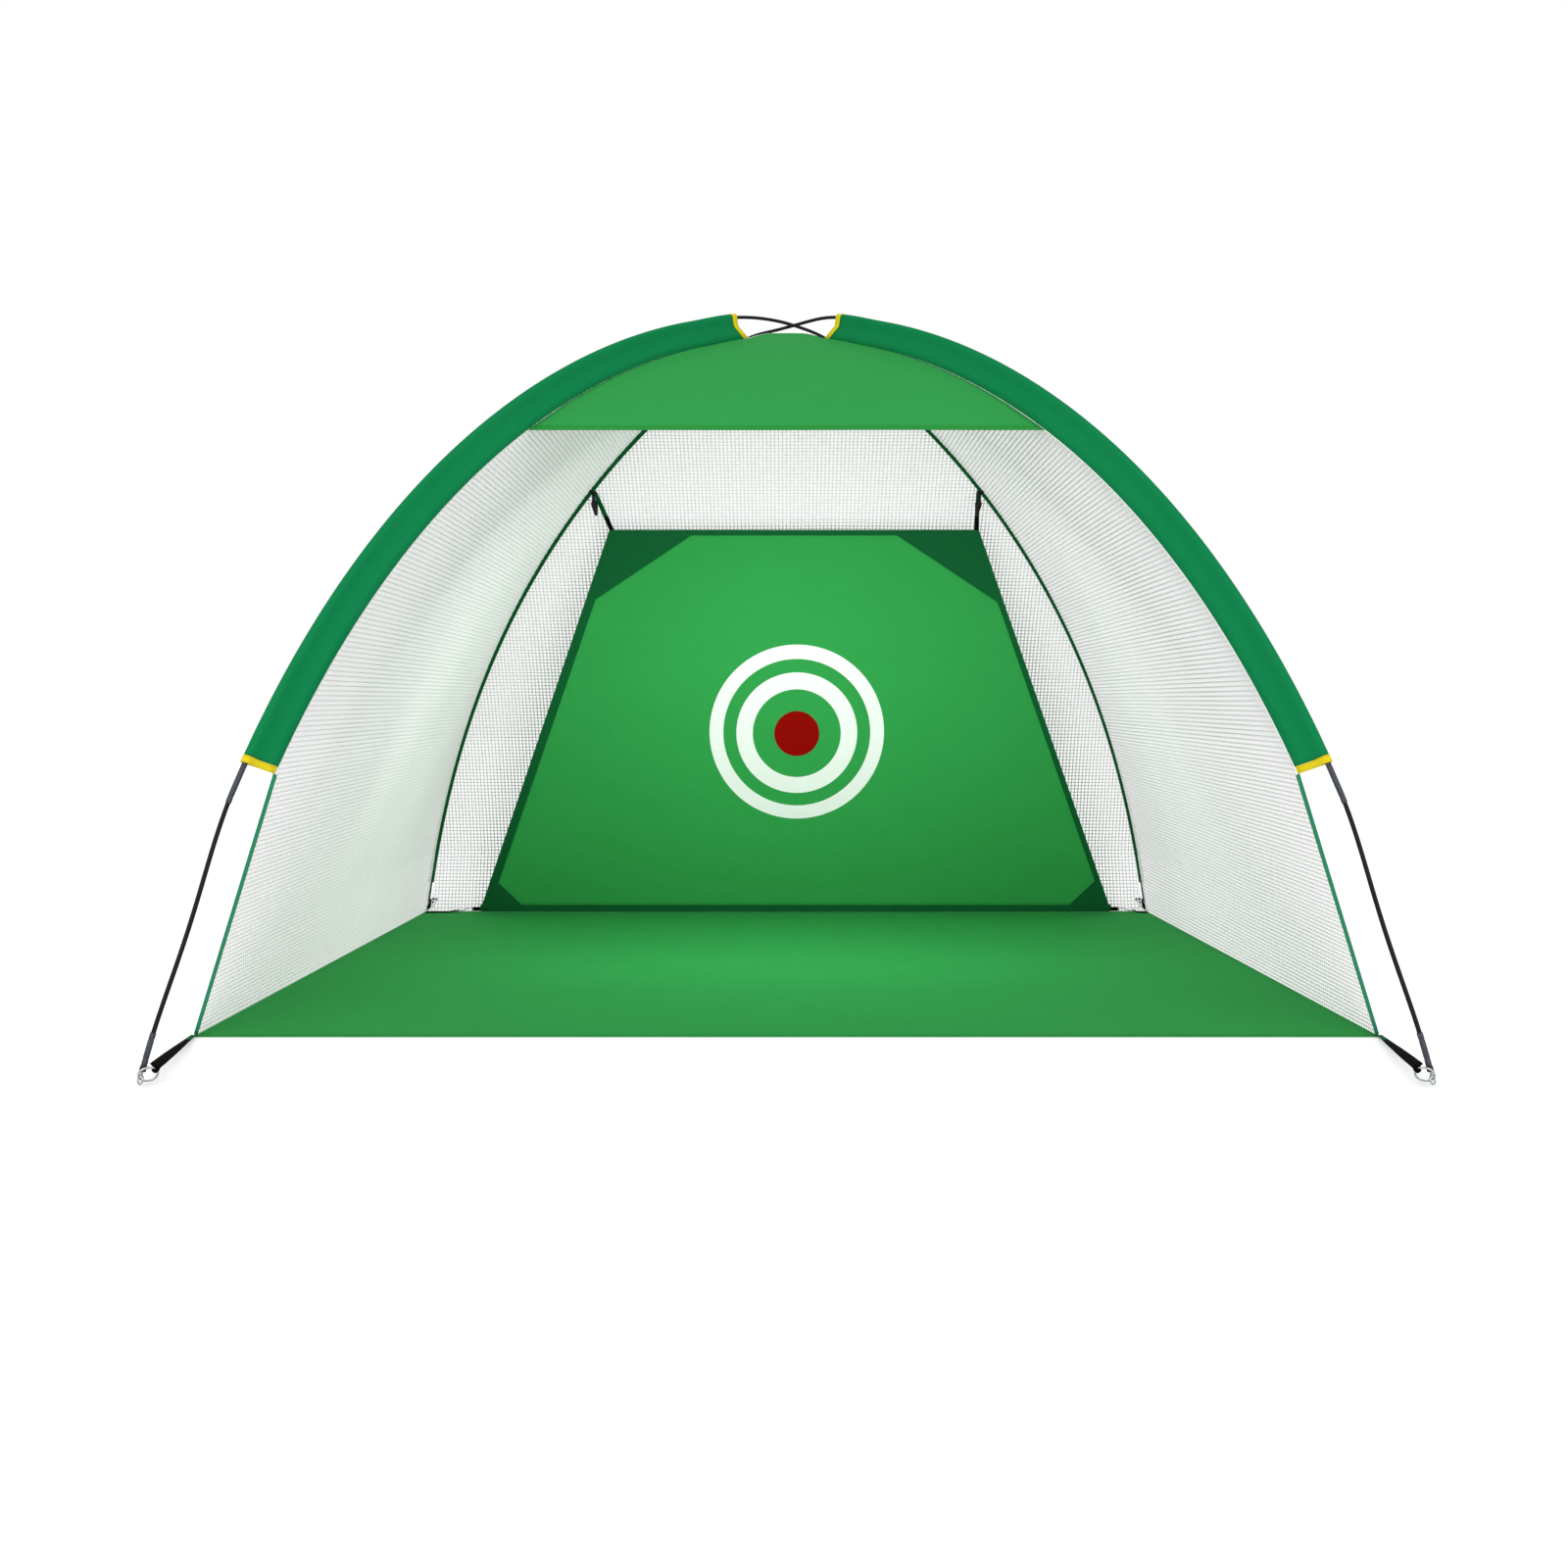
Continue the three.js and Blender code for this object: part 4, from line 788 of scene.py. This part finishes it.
def even_rows(first, second, pitch):
    """Values of s at which the panel's middle line has been climbed by equal steps."""
    samples = [3 * i / 900 for i in range(901)]
    length = [0.0]
    last = (first(0) + second(0)) / 2
    for s in samples[1:]:
        p = (first(s) + second(s)) / 2
        length.append(length[-1] + (p - last).length)
        last = p
    count = round(length[-1] / pitch)
    out, k = [], 0
    for i in range(count + 1):
        want = length[-1] * i / count
        while k < 899 and length[k + 1] < want:
            k += 1
        out.append(samples[k] + (samples[k + 1] - samples[k])
                   * (want - length[k]) / (length[k + 1] - length[k]))
    return out


# White polyester yarn, twisted and slightly fluffy. Both its shades carry a slight pink cast, painted to
# cancel the green light bounced on to it from the cloth.
netting, tree = blank_material("knitted_white_netting")
coords = put(tree, "ShaderNodeTexCoord").outputs["Object"]
fluff = put(tree, "ShaderNodeTexNoise", {"Vector": coords, "Scale": 160.0, "Detail": 3.0}).outputs[0]
patch = put(tree, "ShaderNodeTexNoise", {"Vector": coords, "Scale": 5.0, "Detail": 2.0}).outputs[0]
share = put(tree, "ShaderNodeMath", {0: fluff, 1: patch}, operation="MULTIPLY").outputs[0]
# The pink cast in both colours is painted: it cancels green light bounced from the green cloth.
tone = put(tree, "ShaderNodeMix", {
    "Factor": share, 6: linear("#F6F2F5"), 7: linear("#E6E2E5")}, data_type="RGBA")
twist = put(tree, "ShaderNodeBump", {"Strength": 0.5, "Distance": 0.0004, "Height": fluff})
shader = put(tree, "ShaderNodeBsdfPrincipled", {
    "Base Color": tone.outputs[2], "Roughness": 0.85, "Normal": twist.outputs[0],
    "Specular IOR Level": 0.2, "Sheen Weight": 0.1})
put(tree, "ShaderNodeOutputMaterial", {"Surface": shader.outputs[0]})

net_tree = bpy.data.node_groups.new("knit_net", "GeometryNodeTree")
kinds = {"Panel": "Geometry", "Yarn depth": "Float", "Hole share": "Float", "Yarn": "Material"}
sockets = {name: net_tree.interface.new_socket(name=name, in_out="INPUT", socket_type=f"NodeSocket{kind}")
           for name, kind in kinds.items()}
net_tree.interface.new_socket(name="Net", in_out="OUTPUT", socket_type="NodeSocketGeometry")
given = put(net_tree, "NodeGroupInput")
raised = put(net_tree, "GeometryNodeExtrudeMesh", {
    "Mesh": given.outputs["Panel"], "Offset Scale": given.outputs["Yarn depth"],
    "Individual": True}, mode="FACES")
shrunk = put(net_tree, "GeometryNodeScaleElements", {
    "Geometry": raised.outputs["Mesh"], "Selection": raised.outputs["Top"],
    "Scale": given.outputs["Hole share"]}, domain="FACE")
opened = put(net_tree, "GeometryNodeDeleteGeometry", {
    "Geometry": shrunk.outputs[0], "Selection": raised.outputs["Top"]}, domain="FACE")
real = put(net_tree, "GeometryNodeRealizeInstances", {"Geometry": opened.outputs[0]})
dyed = put(net_tree, "GeometryNodeSetMaterial", {
    "Geometry": real.outputs[0], "Material": given.outputs["Yarn"]})
put(net_tree, "NodeGroupOutput", {"Net": dyed.outputs[0]})


def net_panel(name, first, second, axis, pitch, gaps, seed):
    """Netting between two seams. Its columns keep an even step along one axis and are
    trimmed where the seam cuts them, as cloth is."""
    rows_s = even_rows(first, second, pitch)
    ends = []
    for i, s in enumerate(rows_s):
        a, b = first(s), second(s)
        span = b - a
        ends.append((a + span.normalized() * gaps(s)[0], b - span.normalized() * gaps(s)[1], s))
    lowest = min(min(a[axis], b[axis]) for a, b, _ in ends)
    highest = max(max(a[axis], b[axis]) for a, b, _ in ends)
    columns = round((highest - lowest) / pitch)
    verts, slacks = [], []
    for a, b, s in ends:
        for c in range(columns + 1):
            want = lowest + (highest - lowest) * c / columns
            share = part_way((want - a[axis]) / (b[axis] - a[axis]))
            verts.append(a.lerp(b, share))
            slacks.append(math.sin(math.pi * share) * min(1, 4 * s) * part_way(3 - s))
    size = columns + 1
    out = []
    for i, p in enumerate(verts):
        r = i // size
        a, b, _ = ends[r]
        up = verts[i + size] - p if r + 1 < len(ends) else p - verts[i - size]
        normal = (b - a).cross(up)
        if normal.length > 1e-9:
            normal.normalize()
        out.append(p + normal * (0.0022 * slacks[i] * settle(p[axis], p.z, seed, 0.5)))
    faces = []
    area = 0.0
    for quad in cells(len(ends), size):
        a, b, c, d = (verts[q] for q in quad)
        cell_area = ((b - a).cross(c - a).length + (c - a).cross(d - a).length) / 2
        if cell_area > 2e-6:
            faces.append(quad)
            area += cell_area
    used = sorted({i for f in faces for i in f})
    index = {old: new for new, old in enumerate(used)}
    base = finished(name + "_cells", [out[i] for i in used], [tuple(index[i] for i in f) for f in faces],
                    [netting], smooth=False, outward=False)
    knit = base.modifiers.new("knit", "NODES")
    knit.node_group = net_tree
    for socket, value in (("Yarn depth", -0.0012), ("Hole share", 0.664), ("Yarn", netting)):
        knit[sockets[socket].identifier] = value
    graph = bpy.context.evaluated_depsgraph_get()
    mesh = bpy.data.meshes.new_from_object(base.evaluated_get(graph))
    mesh.name = name
    bpy.data.objects.remove(base)
    piece = bpy.data.objects.new(name, mesh)
    scene.collection.objects.link(piece)
    return piece, area


beside_sleeve, beside_tape, beside_cloth = rear_bore + rear_wall + near, 0.0037, 0.0011


def rear_gap(s):
    return beside_cloth if s <= 0 or s >= 2.99 else beside_sleeve


def side_gaps(s):
    return beside_tape if s < 1 else beside_cloth, rear_gap(s)


for side in (LEFT, RIGHT):
    name = side_name[side]
    piece, area = net_panel(f"side_netting_{name}", lambda s: front_seam(side, s),
                            lambda s: rear_seam(side, s), 1, 0.0090, side_gaps, 21 + side)
    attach(piece, "cage")
    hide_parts(f"side_net_{name}")
piece, area = net_panel("rear_netting", lambda s: rear_seam(LEFT, s), lambda s: rear_seam(RIGHT, s),
                        0, 0.0094, lambda s: (rear_gap(s), rear_gap(s)), 31)
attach(piece, "cage")
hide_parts("rear_net")

# ---------------------------------------------------------------- edge tapes
# Folded green tape binds the netting's free front edge, from the floor's corner up to the
# low end of the sleeve. It turns its flat side to the front.

# Woven tape, paler than the sleeves, with slight ribs; painted shade darkens their hollows and painted light
# brightens their crests.
tape_green = ribbed("green_folded_tape", "#2E8560", 0.0014, 0.95, 1.1)
for side in (LEFT, RIGHT):
    foot, top = front_seam(side, 0) + Vector((0, 0, 0.0012)), front_seam(side, 0.998)
    run = (top - foot).normalized()
    faced = Vector((side, 0.35, 0))
    faced = (faced - run * faced.dot(run)).normalized()
    rows = [(foot.lerp(top, i / 24), faced, run.cross(faced), 0.007, 0.0022) for i in range(25)]
    tape = strap(f"net_edge_tape_{side_name[side]}", rows, [tape_green])
    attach(tape, "cage")
    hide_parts(f"edge_tape_{side_name[side]}")

# ---------------------------------------------------------------- hood
# A light green panel across the top of the opening, sewn to both front sleeves up to the
# crown. Its free lower edge is turned up and sewn into a narrow hem.
hood_start = min((1 + i / 400 for i in range(401)),
                 key=lambda s: abs(front_seam(LEFT, s).z - hood_hem_height))
hood_steps, hood_hem = 60, 0.012
hood_s = [hood_start, hood_start + hood_hem / 2, hood_start + hood_hem]
hood_s += [hood_start + (3 - hood_start) * (i / hood_steps) ** 0.9 for i in range(2, hood_steps + 1)]
hood_rows = []
for s in hood_s:
    a, b = front_seam(LEFT, s), front_seam(RIGHT, s)
    gap = (b - a).normalized() * 0.0008
    a, b = a + gap, b - gap
    row = []
    for i in range(hood_steps + 1):
        share = i / hood_steps
        p = a.lerp(b, share)
        free = math.sin(math.pi * share) * min(1, max(0, 3 - s) * 1.2)
        wave = 0.0016 * free * settle(p.x, s * 0.5, 41, 0.55)
        row.append(p + Vector((0, -0.7, 0.7)) * wave)
    hood_rows.append(row)
hood = cloth_panel("front_hood", hood_rows, 0.0009, [light_green, hem_green], hem_rows=2)
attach(hood, "cage")
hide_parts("hood")

# ---------------------------------------------------------------- target sheet
# A light green sheet printed with two white rings round a red disc, bound along its edges
# in dark green tape, with a dark green patch sewn over each corner.
target_top = dict(y=0.4225, z=1.002, width=0.914, shift=0.019)
target_low = dict(y=0.7825, z=0.012, width=1.734, shift=0.025)
target_up = Vector((0, target_top["y"] - target_low["y"], target_top["z"] - target_low["z"])).normalized()
target_front = Vector((0, -target_up.z, target_up.y))
target_thickness = 0.0012


def target_point(share, rise_share):
    a, b = (Vector((edge["shift"] + (share - 0.5) * edge["width"], edge["y"], edge["z"]))
            for edge in (target_low, target_top))
    return a.lerp(b, rise_share)


# The same cloth, printed: rings and disc go by the distance from their shared middle.
printed = woven("printed_target_polyester", "#329A4B", 0.0022)
tree = printed.node_tree
shader = next(n for n in tree.nodes if n.type == "BSDF_PRINCIPLED")
ink = shader.inputs["Base Color"].links[0].from_socket
mark_x, mark_z, tallness = 0.027, 0.4965, 1.066
upright = 1 / (target_up.z * tallness)
centred = put(tree, "ShaderNodeMapping", {
    "Vector": put(tree, "ShaderNodeTexCoord").outputs["Object"],
    "Location": (-mark_x, 0, -mark_z * upright), "Scale": (1, 0, upright)})
radius = put(tree, "ShaderNodeVectorMath", {0: centred.outputs[0]}, operation="LENGTH").outputs["Value"]
for outer, inner, colour in ((0.228, 0.192, "#F2F4F2"), (0.158, 0.115, "#F2F4F2"), (0.059, -1, "#8E0602")):
    within = put(tree, "ShaderNodeMath", {0: radius, 1: outer}, operation="LESS_THAN").outputs[0]
    beyond = put(tree, "ShaderNodeMath", {0: radius, 1: inner}, operation="GREATER_THAN").outputs[0]
    band = put(tree, "ShaderNodeMath", {0: within, 1: beyond}, operation="MULTIPLY").outputs[0]
    ink = put(tree, "ShaderNodeMix", {"Factor": band, 6: ink, 7: linear(colour)}, data_type="RGBA").outputs[2]
tree.links.new(ink, shader.inputs["Base Color"])

target_rows = []
for r in range(49):
    v = r / 48
    row = []
    for i in range(65):
        u = i / 64
        free = math.sin(math.pi * u) * math.sin(math.pi * v)
        wave = 0.0022 * free * settle(u * 1.4, v, 51, 0.5)
        row.append(target_point(u, v) + target_front * wave)
    target_rows.append(row)
target = cloth_panel("target_cloth", target_rows, target_thickness, [printed])
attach(target, "target")
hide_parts("target_sheet")

# Dark green polyester for the edge tapes and patches, matt.
patch_green = woven("dark_green_patch_polyester", "#115A2F", 0.0018)
border_drop = 0.0075
border_width = {"left": 0.023, "right": 0.015, "top": 0.013, "bottom": 0.012}
half_target = target_thickness / 2


def flat_patch(name, corners, gap, thickness, sides=(1,)):
    """A flat sewn-on shape on the target's face, or on both, slightly rounded at its rim."""
    verts, faces, uv = [], [], []
    n = len(corners)
    middle = sum(corners, Vector()) / n
    for s in sides:
        base = len(verts)
        low, high = (half_target + gap) * s, (half_target + gap + thickness) * s
        for off, shrink in ((low, 0), (high - 0.0002 * s, 0), (high, 0.0004)):
            for p in corners:
                q = p + (middle - p).normalized() * shrink
                verts.append(q + target_front * off)
                uv.append((q.x, (q.z - target_low["z"]) / target_up.z))
        for a in (base, base + n):
            faces += [(a + k, a + (k + 1) % n, a + n + (k + 1) % n, a + n + k) for k in range(n)]
        faces += [tuple(base + k for k in reversed(range(n))), tuple(base + 2 * n + k for k in range(n))]
    return finished(name, verts, faces, [patch_green], smooth=False, uv=uv)


low_left, low_right = target_point(0, 0), target_point(1, 0)
top_left, top_right = target_point(0, 1), target_point(1, 1)


def inward(a, b, w, toward):
    """The line from a to b, moved w towards a third corner."""
    run = (b - a).normalized()
    way = toward - a
    way = (way - run * way.dot(run)).normalized()
    return a + way * w, b + way * w


strips = {
    "left": (low_left, top_left, low_right), "right": (low_right, top_right, low_left),
    "top": (top_left, top_right, low_left), "bottom": (low_left, low_right, top_left),
}
for edge, (a, b, toward) in strips.items():
    c, d = inward(a, b, border_width[edge], toward)
    if edge == "bottom":
        a, b = a - target_up * border_drop, b - target_up * border_drop
    tape = flat_patch(f"target_border_{edge}", [a, b, d, c], 0.0004, 0.0005, sides=(1, -1))
    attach(tape, "target")

for side in (LEFT, RIGHT):
    name = side_name[side]
    share = 0 if side == LEFT else 1
    for place, rise_share, other, width, height in (
            ("upper", 1, 0, 0.222, 0.213), ("lower", 0, 1, 0.126, 0.107)):
        corner = target_point(share, rise_share)
        along = corner + Vector((-side * width, 0, 0))
        edge = (target_point(share, other) - corner).normalized()
        corners = [corner, along, corner + edge * height]
        patch = flat_patch(f"target_corner_{place}_{name}", corners, 0.0009, 0.0007)
        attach(patch, "target")
        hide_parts(f"target_patch_{place}_{name}")

# ---------------------------------------------------------------- upper hangers
# A black moulded hook snaps over each rear sleeve, its finger tab hanging below it. A short
# strap runs from the hook to the target's top corner; a falling target pulls the hook off.

# Moulded black plastic with a slight gloss.
hook_black = hard("moulded_black_hook", "#0B0B0C", 0.45, scale=220, spread=0.15, gloss=0.25)
# Narrow woven strap in deep green, matt, with ribs; painted shade darkens their hollows and painted light
# brightens their crests.
green_strap = ribbed("dark_green_strap", "#0B5528", 0.0014)
hook_thickness, hook_width, hook_jaw, anchor_height = 0.0034, 0.010, 0.007, 1.097
hook_rounding, finger_lean = 0.0011, 0.16
strap_width, strap_thickness = 0.012, 0.002
for side in (LEFT, RIGHT):
    name = side_name[side]
    curve = half["rear", side]
    t = share_at_height("rear", anchor_height)
    grip, along = on_bend(curve, t), bend_direction(curve, t)
    away = Vector((0, grip.z - target_low["z"], target_low["y"] - grip.y)).normalized()
    opens = (away - along * away.dot(along)).normalized()
    down = along.cross(opens)
    if down.z > 0:
        down.negate()
    bow = rear_bore + rear_wall + near + hook_thickness / 2

    def round_grip(angle):
        return grip + opens * (bow * math.cos(angle)) + down * (bow * math.sin(angle))
    turns = [math.pi / 2 + math.pi * i / 24 for i in range(25)]
    path = [round_grip(turns[0]) + opens * (hook_jaw * share / 2) for share in (1, 0.85, 0.5)]
    path += [round_grip(a) for a in turns]
    path += [round_grip(turns[-1]) + opens * (hook_jaw * share) for share in (0.3, 0.7, 0.93, 1)]
    rows = []
    for i, p in enumerate(path):
        run = (path[min(i + 1, len(path) - 1)] - path[max(i - 1, 0)]).normalized()
        ends = min(1, 0.62 + 0.38 * min(i, len(path) - 1 - i))
        rows.append((p, along, run.cross(along), hook_width * (0.82 + 0.18 * ends), hook_thickness * ends))
    hook = strap(f"target_hook_{name}", rows, [hook_black], rounding=hook_rounding)
    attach(hook, "target")
    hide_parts(f"target_clip_{name}")
    top = round_grip(math.pi * 0.75)
    lean = Vector((-side * finger_lean, 0, -1))
    # How far down, and how wide there, in millimetres.
    shape = [(0, 7), (5, 7), (11, 7.2), (16, 8), (20, 11), (23, 15), (26, 17), (30, 16.4), (36, 14.4),
             (42, 12), (48, 9.6), (52, 8), (54.5, 6.6), (55.6, 4.8), (56, 2.4)]
    rows = [(top + lean * (drop / 1000), Vector((1, 0, -side * finger_lean)).normalized(), Vector((0, 1, 0)),
             width / 1000, hook_thickness if drop < 54 else hook_thickness * 0.8) for drop, width in shape]
    finger = strap(f"hook_finger_tab_{name}", rows, [hook_black], rounding=hook_rounding)
    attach(finger, "target")
    begin = grip + down * (bow + hook_thickness / 2 + near)
    foot = target_point(0 if side == LEFT else 1, 1) + Vector((-side * strap_width / 2, 0, 0))
    foot += target_up * near
    faced = target_front if opens.dot(target_front) > 0 else -target_front
    rows = []
    for i in range(17):
        share = i / 16
        rows.append((begin.lerp(foot, share), along.lerp(Vector((-side, 0, 0)), share).normalized(),
                     opens.lerp(faced, share).normalized(), strap_width, strap_thickness))
    hanger = strap(f"hanger_strap_{name}", rows, [green_strap, black_webbing], second_from=10)
    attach(hanger, "target")
    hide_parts(f"target_strap_{name}")

# ---------------------------------------------------------------- lower hinges
# At each lower corner a webbing tab ends in a round stub. A wire hook's eye turns on it, so
# the target swings, and a floor strap sewn to the floor sheet holds the hook's ring.
hook_length, hook_wire, hook_eye, hook_ring = 0.034, 0.0014, 0.0044, 0.0065
tab_reach, tab_width, back, upright = 0.020, 0.012, Vector((0, 1, 0)), Vector((0, 0, 1))
eye_width, eye_thickness, eye_reach = 0.005, 0.0011, 0.0021
strap_z = floor_thickness + near + web_thickness / 2
# Bent from bright zinc-plated wire, lighter than the corner rings.
hook_zinc = hard("pale_zinc_hook_wire", "#C9CCCF", 0.3, metallic=0.9, scale=300, spread=0.08)
for side in (LEFT, RIGHT):
    name = side_name[side]
    out = Vector((side, 0, 0))
    corner = target_point(0 if side == LEFT else 1, 0)
    rows = [(corner + out * (near + tab_reach * i / 6), target_up, target_front, tab_width, web_thickness)
            for i in range(7)]
    tab = strap(f"hinge_tab_{name}", rows, [black_webbing])
    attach(tab, "target")
    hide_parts(f"target_tab_{name}")
    eye_at = near + tab_reach + near + hook_wire
    stub_radius = hook_eye - hook_wire - near
    stub_end = eye_at + 2 * hook_wire - tab_reach + 0.0036
    v, f = lathe(corner + out * (near + tab_reach - 0.004), out, [
        (0, stub_radius * 0.9), (0.0006, stub_radius), (stub_end - 0.0006, stub_radius),
        (stub_end, stub_radius * 0.85)])
    stub = finished(f"hinge_stub_{name}", v, f, [collar_black])
    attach(stub, "target")
    hinge = corner + out * eye_at
    ring_centre = corner + out * (eye_at + hook_length)
    ring_centre.z = (strap_z + corner.z) / 2
    parts = [(*torus(hinge, back, upright, hook_eye, hook_wire), 0),
             (*torus(ring_centre, out, back, hook_ring, hook_wire), 0)]
    a, c = hinge + upright * hook_eye, ring_centre - out * hook_ring
    b, d = a + out * 0.009, c - out * 0.008 + upright * 0.0035
    wire = []
    for i in range(21):
        t = i / 20
        p = a * (1 - t) ** 3 + b * (3 * t * (1 - t) ** 2) + d * (3 * t * t * (1 - t)) + c * t ** 3
        run = ((b - a) * (1 - t) ** 2 + (d - b) * (2 * t * (1 - t)) + (c - d) * t * t).normalized()
        wire.append((p, back, run.cross(back), hook_wire))
    parts.append((*tube(wire, 12), 0))
    v, f, indices = joined(parts)
    hook = finished(f"hinge_hook_{name}", v, f, [hook_zinc], indices=indices)
    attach(hook, "cage")
    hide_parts(f"floor_hook_{name}")
    heart = ring_centre + out * (hook_ring + eye_reach - hook_wire - near)
    loop = webbing_eye(f"floor_strap_loop_{name}", heart, out, upright, back,
                       eye_reach + eye_thickness / 2, eye_width, eye_thickness, rounding=0.0004)
    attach(loop, "cage")
    begin = heart + out * eye_reach
    far = side * (floor_width / 2 - 2 * inset)
    rows = []
    for i in range(21):
        share = i / 20
        p = Vector((begin.x + (far - begin.x) * share, begin.y, 0))
        ease = min(1, share / 0.35)
        p.z = begin.z + (strap_z - begin.z) * (3 - 2 * ease) * ease * ease
        rows.append((p, back, upright, eye_width + 0.010 * min(1, share / 0.06), web_thickness))
    web = strap(f"floor_strap_web_{name}", rows, [black_webbing])
    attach(web, "cage")
    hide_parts(f"floor_strap_{name}")
